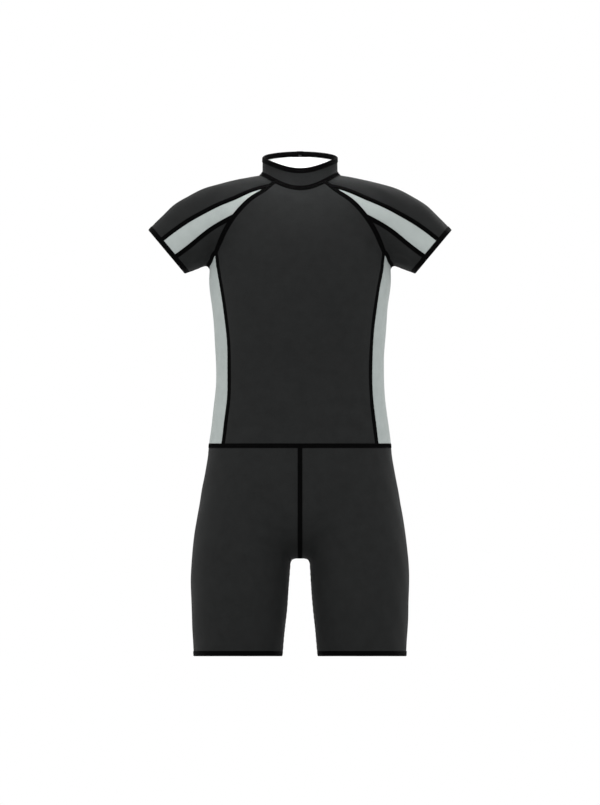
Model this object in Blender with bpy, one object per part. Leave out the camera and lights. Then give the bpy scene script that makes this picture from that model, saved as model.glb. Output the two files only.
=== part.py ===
"""A unitard with short raglan sleeves, a stand collar and a back zip, filled out as it is worn.

The garment lies on one smooth form: a neck, a torso, two shoulders that run on into the arms,
a seat and two legs, blended into each other. Seams are curves pressed onto that form, and each
cloth piece is a wall of even thickness between its seams. Lengths are in millimetres until the
mesh is made. The origin is the middle of the neck's base at the height of its sides, +Z is up,
the front faces -Y and the wearer's left is at +X.
"""

import math

import bpy
import numpy as np

MM = 0.001

# Cloth
WALL = 1.2
SEAM_GAP = 0.3

# Heights
WAIST_SEAM = -430.0
CROTCH = -610.5
LEG_HEM = -766.0

# Collar edges: height at the side, rise to the back, and droop to the front
COLLAR_SEAM = (4.5, 2.0, 21.8)
COLLAR_TOP = (30.0, 10.2, 16.3)
COLLAR_EASE = 0.12

# The form, from the top down. Depths are measured forwards and backwards from the middle.
NECK_SQUARENESS = 2.1
NECK_COLUMNS = ("height", "half_width", "middle", "front", "back")
NECK = (
    (60, 60, 0, 56, 56),
    (30, 59.5, 4, 56, 56),
    (0, 60, 8, 56, 56),
    (-30, 58, 11, 54, 54),
    (-60, 40, 12, 40, 40),
)
TORSO_SQUARENESS = 2.3
TORSO_COLUMNS = ("height", "half_width", "front", "back")
TORSO = (
    (8, 30, 15, 40),
    (-20, 64, 40, 64),
    (-40, 92, 57, 76),
    (-70, 116, 77, 89),
    (-100, 130, 92, 96),
    (-150, 145, 107, 100),
    (-200, 141.5, 113, 97),
    (-260, 136.5, 107, 88),
    (-310, 134, 97, 81),
    (-360, 137, 92, 81),
    (-430, 145.5, 95, 94),
    (-480, 148, 96, 107),
    (-520, 146, 80, 98),
    (-560, 110, 40, 55),
    (-590, 30, 10, 15),
)
SEAT_MIDDLE = (0, 8, -514)
SEAT_RADII = (132, 99, 96.5)
LEG_SQUARENESS = 2.2
LEG_MIDDLE = 5
LEG_COLUMNS = ("height", "centre", "half_width", "front", "back")
LEG = (
    (-400, 60, 20, 20, 20),
    (-440, 68, 60, 60, 70),
    (-480, 74, 76, 84, 96),
    (-517, 79.5, 79.5, 92, 108),
    (-549, 85, 80.5, 92, 110),
    (-580, 91, 79, 91, 106),
    (-612, 94.5, 79, 89, 99),
    (-645, 96, 78.5, 87, 93),
    (-677, 97, 77, 85, 89),
    (-709, 98, 75, 82, 85),
    (-741, 98.5, 72.5, 79, 80),
    (-766, 99.5, 70.5, 77, 77),
    (-820, 100, 66, 73, 71),
)

# Shoulder and arm: a tube whose axis bends down from the neck to the sleeve's hem and past it
ARM_SQUARENESS = 2.05
ARM_COLUMNS = ("axis_x", "axis_z", "middle", "half_height", "half_depth")
ARM = (
    (0, -45, 8, 43, 57),
    (50, -45, 8, 48, 61),
    (95, -53, 7, 49, 62),
    (140, -69, 6, 52, 60),
    (175, -93, 5, 54.5, 54),
    (213, -119.3, 4, 45, 48.5),
    (243, -150.8, 3, 41, 44),
)
SLEEVE_HEM = 5
AXIS_POINTS = 90
ARM_MIDDLE = 7

# A y inside every part of the form, and one well outside it
INSIDE_Y = 5.0
OUTSIDE_Y = 180.0

# How softly one part of the form runs into the next. The arm's blend tightens down to the armpit.
NECK_BLEND = 9.0
ARM_BLEND_HEIGHTS = (-125, -75)
ARM_BLENDS = (14.0, 28.0)
LEG_BLEND = 10.0
HIP_BLEND = 18.0

# Seams as seen from the front or from behind, as (x, z)
NECK_RADIUS = 58
FRONT_RAGLAN = ((41, -10), (57, -20), (78, -34), (101, -57), (119, -84), (134.5, -120))
BACK_RAGLAN = ((42, 3), (55, -12.5), (73, -29), (100, -58), (123, -92), (134.5, -120))
STRIPE_START = 0.07
STRIPE_END = 0.57
SIDE_SEAM = ((134.5, -120), (129.5, -155), (120, -214), (113.3, -305), (115, -358), (124, -430))
ARMPIT = (141, 5, -131)
SLEEVE_RIDGE = ((102, -5), (158, -21), (198, -45), (230, -69))
STRIPE_UPPER = ((71, -19), (101, -31.5), (131, -44), (166, -62), (199, -83))
STRIPE_LOWER = ((140, -82), (158, -95.5), (174, -109))
STRIPE_HEM_ANGLES = (64, 109)

# Where seams that can't be seen run before they are pressed on: (y, z) on the middle plane
CENTRE_FRONT = ((-88, -510), (-63, -570))
CENTRE_BACK = ((106, -510), (77, -570))
CROTCH_Y = 6
WAIST_SIDE = (145, 0, WAIST_SEAM)
HIP_SIDE = (165, 4, -530)
INSEAM = ((14, 6, -620), (20, 6, -680))
THIGH_RING = (88, 86, 90)
THIGH_RING_SKIP = 3
RING_POINTS = 80

# Segments along each seam
FRONT_COLUMNS = 14
SHOULDER_COLUMNS = (3, 4)
BACK_COLUMNS = 6
SIDE_COLUMNS = 6
RAGLAN_ROWS = 10
SIDE_ROWS = 15
COLLAR_ROWS = 3
SLEEVE_ROWS = 12
SLEEVE_EASE = 1.35
SIDE_EASE = 1.2
STRIPE_COLUMNS = 4
SEAT_ROWS = 9
LEG_ROWS = 8

# Zip: half widths across, and heights out from the cloth's outer face
ZIP_GAP = 2.6
ZIP_CHAIN = 2.2
ZIP_TAPE = 13.0
ZIP_PROUD = 0.5
ZIP_TAPE_FACE = -WALL - 0.6
ZIP_TAPE_WALL = 0.8
ZIP_END = 1.5

# Slider and pull tab
SLIDER_HEIGHT = 29.0
SLIDER_LENGTH = 12.0
SLIDER_WIDTH = 8.6
SLIDER_WAIST = 6.4
SLIDER_FACES = (0.9, 2.4)
EAR_INNER = 1.9
EAR_WIDTH = 1.2
EAR_RADIUS = 1.7
HINGE_LIFT = 4.2
BARREL_RADIUS = 1.1
BARREL_GAP = 0.3
TAB_LENGTH = 20.0
TAB_WIDTH = 6.4
TAB_NECK_WIDTH = 2.8
TAB_WALL = 1.4
ROUND_SIDES = 14


def clear_scene():
    for item in list(bpy.data.objects):
        bpy.data.objects.remove(item, do_unlink=True)


def to_linear(level):
    """One sRGB level, 0 to 255, as the linear value that a shader takes."""
    share = level / 255
    if share <= 0.04045:
        return share / 12.92
    return ((share + 0.055) / 1.055) ** 2.4


def make_material(name, levels, roughness, metallic=0.0):
    material = bpy.data.materials.new(name)
    material.use_nodes = True
    shader = material.node_tree.nodes["Principled BSDF"]
    shader.inputs["Base Color"].default_value = [to_linear(level) for level in levels] + [1.0]
    shader.inputs["Roughness"].default_value = roughness
    shader.inputs["Metallic"].default_value = metallic
    return material


def smooth_curve(places, values):
    """A natural cubic spline through the values, held level beyond its two ends."""
    places = np.array(places, float)
    values = np.array(values, float)
    steps = np.diff(places)
    slopes = np.diff(values) / steps
    count = len(places)
    matrix = np.eye(count)
    bends = np.zeros(count)
    for i in range(1, count - 1):
        matrix[i, i - 1:i + 2] = (steps[i - 1], 2 * (steps[i - 1] + steps[i]), steps[i])
        bends[i] = 6 * (slopes[i] - slopes[i - 1])
    bends = np.linalg.solve(matrix, bends)

    def read(place):
        place = np.clip(place, places[0], places[-1])
        i = np.clip(np.searchsorted(places, place) - 1, 0, count - 2)
        ahead = places[i + 1] - place
        behind = place - places[i]
        step = steps[i]
        bend = (bends[i] * ahead ** 3 + bends[i + 1] * behind ** 3) / (6 * step)
        start = (values[i] / step - bends[i] * step / 6) * ahead
        end = (values[i + 1] / step - bends[i + 1] * step / 6) * behind
        return bend + start + end

    return read


def read_table(columns, rows):
    """Each named column as a smooth curve along the first one, and where that one ends."""
    data = np.array(sorted(rows), float)
    table = {name: smooth_curve(data[:, 0], data[:, i]) for i, name in enumerate(columns)}
    table["ends"] = (data[0, 0], data[-1, 0])
    return table


def section_distance(across, deep, half_width, half_depth, squareness):
    """How far a point lies outside a rounded section, measured from the section's middle."""
    reach = np.hypot(across, deep)
    level = np.abs(across / half_width) ** squareness + np.abs(deep / half_depth) ** squareness
    return reach - reach / np.maximum(level ** (1 / squareness), 1e-6)


def blend(first, second, softness):
    """The nearer of two surfaces, rounded where they meet."""
    near = np.maximum(softness - np.abs(first - second), 0) / softness
    return np.minimum(first, second) - near ** 2 * softness / 4


class Form:
    """The smooth form under the cloth, as a signed distance: below 0 inside, above 0 outside."""

    def __init__(self):
        self.neck = read_table(NECK_COLUMNS, NECK)
        self.torso = read_table(TORSO_COLUMNS, TORSO)
        self.leg = read_table(LEG_COLUMNS, LEG)
        self.read_arm_axis()

    def read_arm_axis(self):
        rows = np.array(ARM, float)
        places = np.concatenate([[0], np.cumsum(np.hypot(*np.diff(rows[:, :2], axis=0).T))])
        along = np.linspace(0, places[-1], AXIS_POINTS)
        arm = {name: smooth_curve(places, rows[:, i]) for i, name in enumerate(ARM_COLUMNS)}
        self.arm = {name: curve(along) for name, curve in arm.items()}
        self.arm_axis = np.stack([self.arm["axis_x"], self.arm["axis_z"]], axis=1)
        along_axis = np.gradient(self.arm_axis, axis=0)
        self.arm_along = along_axis / np.hypot(*along_axis.T)[:, None]
        self.hem_index = int(np.argmin(np.abs(along - places[SLEEVE_HEM])))

    def tube(self, points, table, squareness, centre, middle):
        height = points[:, 2]
        deep = points[:, 1] - middle
        depth = np.where(deep < 0, table["front"](height), table["back"](height))
        across = points[:, 0] - centre
        around = section_distance(across, deep, table["half_width"](height), depth, squareness)
        low, high = table["ends"]
        return np.maximum(around, np.maximum(low - height, height - high))

    def seat(self, points):
        level = np.linalg.norm((points - SEAT_MIDDLE) / SEAT_RADII, axis=1)
        reach = np.linalg.norm(points - SEAT_MIDDLE, axis=1)
        return reach - reach / np.maximum(level, 1e-6)

    def sleeve(self, points):
        flat = np.stack([np.abs(points[:, 0]), points[:, 2]], axis=1)
        ahead = np.einsum("psk,sk->ps", flat[:, None] - self.arm_axis, self.arm_along)
        index = np.clip((ahead > 0).sum(axis=1) - 1, 0, AXIS_POINTS - 2)
        rows = np.arange(len(points))
        start, end = ahead[rows, index], ahead[rows, index + 1]
        share = np.clip(start / np.maximum(start - end, 1e-6), 0, 1)

        def here(values):
            return values[index] * (1 - share) + values[index + 1] * share

        off_x = flat[:, 0] - here(self.arm_axis[:, 0])
        off_z = flat[:, 1] - here(self.arm_axis[:, 1])
        run_x, run_z = here(self.arm_along[:, 0]), here(self.arm_along[:, 1])
        up = (off_z * run_x - off_x * run_z) / np.hypot(run_x, run_z)
        deep = points[:, 1] - here(self.arm["middle"])
        high, wide = here(self.arm["half_height"]), here(self.arm["half_depth"])
        return section_distance(up, deep, high, wide, ARM_SQUARENESS)

    def distance(self, points):
        height = points[:, 2]
        neck = self.tube(points, self.neck, NECK_SQUARENESS, 0, self.neck["middle"](height))
        torso = self.tube(points, self.torso, TORSO_SQUARENESS, 0, 0)
        centre = self.leg["centre"](height)
        left = self.tube(points, self.leg, LEG_SQUARENESS, centre, LEG_MIDDLE)
        right = self.tube(points, self.leg, LEG_SQUARENESS, -centre, LEG_MIDDLE)
        arm_blend = np.interp(height, ARM_BLEND_HEIGHTS, ARM_BLENDS)
        upper = blend(torso, self.sleeve(points), arm_blend)
        upper = blend(upper, neck, NECK_BLEND)
        lower = blend(left, right, LEG_BLEND)
        lower = blend(lower, self.seat(points), LEG_BLEND)
        return blend(upper, lower, HIP_BLEND)

    def slope(self, points):
        """The distance's gradient, by small central differences."""
        step = 0.02
        slopes = np.empty_like(points)
        for axis in range(3):
            move = np.zeros(3)
            move[axis] = step
            slopes[:, axis] = self.distance(points + move) - self.distance(points - move)
        return slopes / (2 * step)

    def normals(self, points):
        slopes = self.slope(points)
        return slopes / np.linalg.norm(slopes, axis=1, keepdims=True)

    def press(self, points, locked=None, rounds=12, longest=12.0):
        """Moves points onto the form, never along the locked direction."""
        points = np.array(points, float)
        for _ in range(rounds):
            slopes = self.slope(points)
            if locked is not None:
                slopes = slopes - np.outer(slopes @ locked, locked)
            size = np.maximum(np.einsum("pk,pk->p", slopes, slopes), 1e-4)
            move = slopes * (self.distance(points) / size)[:, None]
            far = np.linalg.norm(move, axis=1)
            points -= move * np.minimum(1, longest / np.maximum(far, 1e-9))[:, None]
        return points

    def press_along_y(self, places, side):
        """The form's points at each (x, z), seen from the front (-1) or from behind (1)."""
        places = np.array(places, float)
        inner = np.full(len(places), INSIDE_Y)
        outer = np.full(len(places), OUTSIDE_Y * side)
        for _ in range(40):
            middle = (inner + outer) / 2
            points = np.stack([places[:, 0], middle, places[:, 1]], axis=1)
            inside = self.distance(points) < 0
            inner = np.where(inside, middle, inner)
            outer = np.where(inside, outer, middle)
        return np.stack([places[:, 0], (inner + outer) / 2, places[:, 1]], axis=1)


FORM = Form()
LEVEL = np.array([0.0, 0.0, 1.0])
SLEEVE_SHARES = np.linspace(0, 1, SLEEVE_ROWS + 1) ** SLEEVE_EASE
SIDE_SHARES = np.linspace(0, 1, SIDE_ROWS + 1) ** SIDE_EASE


def lengths_along(points):
    steps = np.linalg.norm(np.diff(points, axis=0), axis=1)
    return np.concatenate([[0], np.cumsum(steps)])


def spaced(points, shares):
    """Points at the given shares of a polyline's length."""
    along = lengths_along(points)
    places = np.array(shares) * along[-1]
    return np.stack([np.interp(places, along, points[:, i]) for i in range(3)], axis=1)


def evenly(points, count):
    return spaced(points, np.linspace(0, 1, count + 1))


def through(knots, count=160):
    """A smooth curve through a few knots of any dimension."""
    knots = np.array(knots, float)
    steps = np.linalg.norm(np.diff(knots, axis=0), axis=1)
    places = np.concatenate([[0], np.cumsum(steps)])
    along = np.linspace(0, places[-1], count)
    return np.stack([smooth_curve(places, column)(along) for column in knots.T], axis=1)


def join(*curves):
    """Curves end to end, each shared end kept once."""
    return np.concatenate([curves[0]] + [curve[1:] for curve in curves[1:]])


def mirrored(points):
    return points * (-1, 1, 1)


def eased(count, power):
    """Shares from 0 to 1 whose steps grow along the way when the power is above 1."""
    return np.linspace(0, 1, count + 1) ** power


def seam_seen(knots, side, shares):
    """A seam given by what shows from the front (-1) or from behind (1)."""
    fine = FORM.press_along_y(through(knots), side)
    return FORM.press(spaced(fine, shares))


def seam_over(knots, shares):
    """A seam through knots in space, pressed onto the form."""
    fine = FORM.press(through(knots))
    return FORM.press(spaced(fine, shares))


def collar_ring(edge, angles):
    """Points round the neck at a collar edge's height. Angle 0 is the front, 90 the left."""
    side, rise, droop = edge
    turns = np.radians(angles)
    back = -np.cos(turns)
    rising = np.logaddexp(0, back / COLLAR_EASE) * COLLAR_EASE
    height = side + rise * rising - droop * np.minimum(back, 0) ** 2
    reach = np.full(len(turns), NECK_RADIUS)
    guess = np.stack([reach * np.sin(turns), reach * back, height], axis=1)
    return FORM.press(guess, LEVEL)


def collar_angles():
    """The angles of the left half's seam points, from the centre front to the zip."""
    front = math.degrees(math.asin(FRONT_RAGLAN[0][0] / NECK_RADIUS))
    back = 180 - math.degrees(math.asin(BACK_RAGLAN[0][0] / NECK_RADIUS))
    zip_edge = 180 - math.degrees(math.asin(ZIP_GAP / NECK_RADIUS))
    return {
        "front": np.linspace(0, front, FRONT_COLUMNS // 2 + 1),
        "shoulder_front": np.linspace(front, 90, SHOULDER_COLUMNS[0] + 1),
        "shoulder_back": np.linspace(90, back, SHOULDER_COLUMNS[1] + 1),
        "back": np.linspace(back, zip_edge, BACK_COLUMNS + 1),
    }


def sleeve_hem(start, end, count):
    """Part of the sleeve's hem. Angle 0 is the top, 90 the front and 180 the underarm."""
    i = FORM.hem_index
    centre_x, centre_z = FORM.arm_axis[i]
    run = FORM.arm_axis[i + 1] - FORM.arm_axis[i - 1]
    run = run / np.hypot(*run)
    along = np.array([run[0], 0, run[1]])
    out = np.array([-run[1], 0, run[0]])
    turns = np.radians(np.linspace(start, end, count + 1))
    centre = np.array([centre_x, FORM.arm["middle"][i], centre_z])
    up = FORM.arm["half_height"][i] * np.cos(turns)
    forward = FORM.arm["half_depth"][i] * np.sin(turns)
    guess = centre + np.outer(up, out) - np.outer(forward, (0, 1, 0))
    return FORM.press(guess, along)


def level_ring(height, centre, half_width, depth, start, end, count):
    """Part of a level ring round the form. Angle 0 is the left, 90 the front, 180 the right."""
    turns = np.radians(np.linspace(start, end, count + 1))
    guess = np.stack([
        centre + half_width * np.cos(turns),
        LEG_MIDDLE - depth * np.sin(turns),
        np.full(count + 1, height),
    ], axis=1)
    return FORM.press(guess, LEVEL)


def level_run(start, end, height, count):
    """Even points on a level seam between two of its points, round the form."""
    shares = np.linspace(0, 1, 81)[:, None]
    guess = start * (1 - shares) + end * shares
    guess[:, 2] = height
    fine = FORM.press(guess, LEVEL)
    return FORM.press(evenly(fine, count), LEVEL)


class Seams:
    """Every seam of the left half, as points that the pieces on both sides share."""

    def __init__(self):
        self.collar = {k: collar_ring(COLLAR_SEAM, a) for k, a in collar_angles().items()}
        self.collar_top = {k: collar_ring(COLLAR_TOP, a) for k, a in collar_angles().items()}
        self.collar_end = self.up_the_collar()
        self.place_armhole()
        self.place_sleeve()
        self.place_body()
        self.place_legs()

    def up_the_collar(self):
        """The collar's end beside the zip, from its top down."""
        shares = np.linspace(0, 1, COLLAR_ROWS + 1)[:, None]
        top, bottom = self.collar_top["back"][-1], self.collar["back"][-1]
        curve = FORM.press(top * (1 - shares) + bottom * shares)
        curve[0], curve[-1] = top, bottom
        return curve

    def place_armhole(self):
        front_start = self.collar["front"][-1]
        back_start = self.collar["back"][0]
        knots = ((front_start[0], front_start[2]),) + FRONT_RAGLAN[1:]
        fine = FORM.press_along_y(through(knots), -1)
        below = RAGLAN_ROWS - 1 - STRIPE_COLUMNS
        beside = np.linspace(STRIPE_START, STRIPE_END, STRIPE_COLUMNS + 1)
        shares = np.concatenate([[0], beside, np.linspace(STRIPE_END, 1, below + 1)[1:]])
        self.front_raglan = FORM.press(spaced(fine, shares))
        self.front_raglan[0] = front_start
        knots = ((back_start[0], back_start[2]),) + BACK_RAGLAN[1:]
        self.back_raglan = seam_seen(knots, 1, eased(RAGLAN_ROWS, 1.2))
        self.back_raglan[0] = back_start
        under = eased(SIDE_COLUMNS // 2, 1)
        front_knots = (self.front_raglan[-1], ARMPIT)
        back_knots = (ARMPIT, self.back_raglan[-1])
        self.under_front = seam_over(front_knots, under)
        self.under_back = seam_over(back_knots, under)
        self.under_back[0] = self.under_front[-1]
        self.under_front[0] = self.front_raglan[-1]
        self.under_back[-1] = self.back_raglan[-1]

    def place_sleeve(self):
        upper, lower = STRIPE_HEM_ANGLES
        count = STRIPE_COLUMNS
        self.hem_top = sleeve_hem(0, upper, SHOULDER_COLUMNS[0] + 1)
        self.hem_stripe = sleeve_hem(upper, lower, count)
        front_count = len(self.front_raglan) - 2 - count + SIDE_COLUMNS // 2
        self.hem_front = sleeve_hem(lower, 180, front_count)
        back_count = SHOULDER_COLUMNS[1] + RAGLAN_ROWS + SIDE_COLUMNS // 2
        self.hem_back = sleeve_hem(0, -180, back_count)
        self.sleeve_ridge = self.ridge(self.collar["shoulder_back"][0], self.hem_top[0])
        self.stripe_upper = self.pinned(STRIPE_UPPER, self.front_raglan[1], self.hem_stripe[0])
        start = self.front_raglan[1 + STRIPE_COLUMNS]
        self.stripe_lower = self.pinned(STRIPE_LOWER, start, self.hem_front[0])
        ends = (self.under_front[-1], self.hem_front[-1])
        self.underarm = seam_over(ends, SLEEVE_SHARES)
        self.underarm[0], self.underarm[-1] = ends

    def ridge(self, start, end):
        """The line along the top of the shoulder and sleeve."""
        knots = [start]
        knots += [(x, ARM_MIDDLE, z) for x, z in SLEEVE_RIDGE]
        knots.append(end)
        curve = seam_over(knots, SLEEVE_SHARES)
        curve[0], curve[-1] = start, end
        return curve

    def pinned(self, knots, start, end):
        """A seam seen from the front whose two ends are points of other seams."""
        knots = ((start[0], start[2]),) + knots + ((end[0], end[2]),)
        curve = seam_seen(knots, -1, SLEEVE_SHARES)
        curve[0], curve[-1] = start, end
        return curve

    def place_body(self):
        self.side_front = seam_seen(SIDE_SEAM, -1, SIDE_SHARES)
        self.side_back = seam_seen(SIDE_SEAM, 1, SIDE_SHARES)
        self.side_front[0] = self.front_raglan[-1]
        self.side_back[0] = self.back_raglan[-1]
        for side in (self.side_front, self.side_back):
            side[-1, 2] = WAIST_SEAM
            side[-1:] = FORM.press(side[-1:], LEVEL)
        front_middle = FORM.press_along_y([(0, WAIST_SEAM)], -1)[0]
        zip_edge = FORM.press_along_y([(ZIP_GAP, WAIST_SEAM)], 1)[0]
        self.waist_front = level_run(front_middle, self.side_front[-1], WAIST_SEAM,
                                     FRONT_COLUMNS // 2)
        self.waist_side = self.around_side(self.side_front[-1], self.side_back[-1])
        self.waist_back = level_run(self.side_back[-1], zip_edge, WAIST_SEAM, BACK_COLUMNS)
        self.zip_edge = self.down_the_back(ZIP_GAP, self.collar["back"][-1], self.waist_back[-1])

    def around_side(self, front, back):
        """The waist seam across the side panel, by way of its outermost point."""
        fine = FORM.press(through((front, WAIST_SIDE, back)), LEVEL)
        curve = FORM.press(evenly(fine, SIDE_COLUMNS), LEVEL)
        curve[0], curve[-1] = front, back
        return curve

    def down_the_back(self, across, top, bottom):
        heights = np.linspace(top[2], bottom[2], 160)
        fine = FORM.press_along_y([(across, height) for height in heights], 1)
        curve = evenly(fine, RAGLAN_ROWS + SIDE_ROWS)
        curve[0], curve[-1] = top, bottom
        return curve

    def place_legs(self):
        half = SIDE_COLUMNS // 2
        front_middle, back_middle = (FORM.press_along_y([(0, WAIST_SEAM)], s)[0] for s in (-1, 1))
        crotch = FORM.press([(0, CROTCH_Y, CROTCH)])[0]
        self.waist_shorts_front = join(self.waist_front, self.waist_side[:half + 1])
        self.waist_shorts_back = join(self.waist_side[half:], self.waist_back, [back_middle] * 2)
        self.centre_front = self.around_seat(front_middle, CENTRE_FRONT, crotch)
        self.centre_back = self.around_seat(back_middle, CENTRE_BACK, crotch)
        outer_waist = self.waist_side[half]
        front_count = len(self.waist_shorts_front) - 1
        back_count = len(self.waist_shorts_back) - 1
        self.thigh_front = self.thigh(crotch, 180, front_count)
        self.thigh_back = self.thigh(crotch, -180, back_count)
        self.thigh_back[-1] = self.thigh_front[-1]
        outer_thigh = self.thigh_front[-1]
        hem = [float(FORM.leg[name](LEG_HEM)) for name in ("centre", "half_width", "front")]
        self.hem_leg_front = level_ring(LEG_HEM, *hem, 180, 0, front_count)
        self.hem_leg_back = level_ring(LEG_HEM, *hem, -180, 0, back_count)
        self.hem_leg_back[0] = self.hem_leg_front[0]
        self.hem_leg_back[-1] = self.hem_leg_front[-1]
        outer_hem = self.hem_leg_front[-1]
        hip_knots = (outer_waist, HIP_SIDE, outer_thigh)
        self.hip_guide = seam_over(hip_knots, eased(SEAT_ROWS, 1))
        self.hip_guide[0], self.hip_guide[-1] = outer_waist, outer_thigh
        self.leg_guide = seam_over((outer_thigh, outer_hem), eased(LEG_ROWS, 1))
        self.leg_guide[0], self.leg_guide[-1] = outer_thigh, outer_hem
        inner_hem = self.hem_leg_front[0]
        inseam_knots = (crotch, *INSEAM, inner_hem)
        self.inseam = seam_over(inseam_knots, eased(LEG_ROWS, 1.25))
        self.inseam[0], self.inseam[-1] = crotch, inner_hem

    def thigh(self, crotch, start, count):
        """Half a level ring round the leg at the crotch's height, from the crotch outwards."""
        ring = level_ring(crotch[2], *THIGH_RING, start, 0, RING_POINTS)
        curve = FORM.press(evenly(join([crotch], ring[THIGH_RING_SKIP:]), count))
        curve[0] = crotch
        return curve

    def around_seat(self, top, guide, crotch):
        """The centre seam from the waist, down and under to the crotch."""
        fine = through((top, *((0, y, z) for y, z in guide), crotch))
        fine[:, 0] = 0
        fine = FORM.press(fine, np.array([1.0, 0.0, 0.0]))
        curve = evenly(fine, SEAT_ROWS)
        curve[0], curve[-1] = top, crotch
        return curve


def patch(top, bottom, start, end):
    """A grid of points between four seams, rows running from top to bottom."""
    rows, columns = len(start), len(top)
    down = np.linspace(0, 1, rows)[:, None, None]
    across = np.linspace(0, 1, columns)[None, :, None]
    top, bottom = top[None, :, :], bottom[None, :, :]
    start, end = start[:, None, :], end[:, None, :]
    corners = ((1 - down) * ((1 - across) * top[:, :1] + across * top[:, -1:])
               + down * ((1 - across) * bottom[:, :1] + across * bottom[:, -1:]))
    grid = (1 - down) * top + down * bottom + (1 - across) * start + across * end - corners
    inner = grid[1:-1, 1:-1]
    grid[1:-1, 1:-1] = FORM.press(inner.reshape(-1, 3)).reshape(inner.shape)
    return grid


def weld(grids):
    """Grids that share edges as one list of points and one of faces, all facing out."""
    index = {}
    points = []
    faces = []
    for grid in grids:
        rows, columns, _ = grid.shape
        ids = np.empty((rows, columns), int)
        for r in range(rows):
            for c in range(columns):
                key = tuple(np.round(grid[r, c], 3))
                if key not in index:
                    index[key] = len(points)
                    points.append(grid[r, c])
                ids[r, c] = index[key]
        faces += grid_faces(grid, ids)
    return np.array(points), faces


def grid_faces(grid, ids):
    """Two triangles for each cell, split along its shorter diagonal."""
    rows, columns, _ = grid.shape
    middle = grid[rows // 2, columns // 2]
    down = grid[rows // 2 - 1, columns // 2] - middle
    across = grid[rows // 2, columns // 2 - 1] - middle
    outward = FORM.normals(middle[None])[0] @ np.cross(down, across) > 0
    faces = []
    for r in range(rows - 1):
        for c in range(columns - 1):
            corners = [(r, c), (r + 1, c), (r + 1, c + 1), (r, c + 1)]
            if not outward:
                corners.reverse()
            even = np.linalg.norm(grid[corners[0]] - grid[corners[2]])
            odd = np.linalg.norm(grid[corners[1]] - grid[corners[3]])
            if odd < even:
                corners = corners[1:] + corners[:1]
            first, second, third, fourth = (ids[corner] for corner in corners)
            halves = ((first, second, third), (first, third, fourth))
            faces += [half for half in halves if len(set(half)) == 3]
    return faces


def border_edges(faces):
    """Edges with a face on one side only, in the direction their face runs."""
    edges = {(f[i], f[(i + 1) % 3]) for f in faces for i in range(3)}
    return [(a, b) for a, b in edges if (b, a) not in edges]


def draw_in(points, faces, normals):
    """Moves the border half a seam gap into the piece, so that neighbours stand clear."""
    following = dict(border_edges(faces))
    leading = {b: a for a, b in following.items()}
    moved = points.copy()
    for here, ahead in following.items():
        inward = np.zeros(3)
        for run in (points[ahead] - points[here], points[here] - points[leading[here]]):
            side = np.cross(normals[here], run)
            inward += side / np.linalg.norm(side)
        inward /= max(inward @ inward / 2, 0.2)
        moved[here] += inward * SEAM_GAP / 2
    return moved


def seam_order(point):
    """Orders a seam's points alike for the pieces on both sides, so that their edges match."""
    return tuple(np.round(point[[2, 1]], 2))


def cloth(name, grids, material):
    """A wall of cloth on the form: its outer face lies on it, its inner face a wall inside."""
    points, faces = weld(grids)
    normals = FORM.normals(points)
    outer = draw_in(points, faces, normals)
    inner = outer - normals * WALL
    count = len(points)
    walls = list(faces)
    walls += [(c + count, b + count, a + count) for a, b, c in faces]
    for a, b in border_edges(faces):
        if seam_order(points[a]) > seam_order(points[b]):
            walls += [(b, a, a + count), (b, a + count, b + count)]
        else:
            walls += [(b, a, b + count), (a, a + count, b + count)]
    return make_object(name, np.concatenate([outer, inner]), walls, material)


def make_object(name, points, faces, material, sharp_angle=35):
    mesh = bpy.data.meshes.new(name)
    mesh.from_pydata([tuple(p) for p in np.asarray(points) * MM], [], [list(map(int, f)) for f in faces])
    mesh.shade_smooth()
    mesh.set_sharp_from_angle(angle=math.radians(sharp_angle))
    mesh.materials.append(material)
    item = bpy.data.objects.new(name, mesh)
    bpy.context.scene.collection.objects.link(item)
    return item


def both_sides(grids, side):
    """The left half's grids, or their mirror images for the right."""
    if side == "left":
        return grids
    return [mirrored(grid) for grid in grids]


def make_front(seams, material):
    left_edge = join(seams.front_raglan, seams.side_front)
    top = join(mirrored(seams.collar["front"])[::-1], seams.collar["front"])
    bottom = join(mirrored(seams.waist_front)[::-1], seams.waist_front)
    cloth("front", [patch(top, bottom, mirrored(left_edge), left_edge)], material)


def make_backs(seams, material):
    edge = join(seams.back_raglan, seams.side_back)
    grid = patch(seams.collar["back"], seams.waist_back, edge, seams.zip_edge)
    for side in ("left", "right"):
        cloth("back_" + side, both_sides([grid], side), material)


def make_sides(seams, material):
    top = join(seams.under_front, seams.under_back)
    grid = patch(top, seams.waist_side, seams.side_front, seams.side_back)
    for side in ("left", "right"):
        cloth("side_" + side, both_sides([grid], side), material)


def make_collar(seams, material):
    halves = []
    for rings in (seams.collar, seams.collar_top):
        left = join(*(rings[key] for key in ("front", "shoulder_front", "shoulder_back", "back")))
        halves.append(join(mirrored(left)[::-1], left))
    bottom, top = halves
    end = seams.collar_end
    cloth("collar", [patch(top, bottom, mirrored(end), end)], material)


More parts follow.
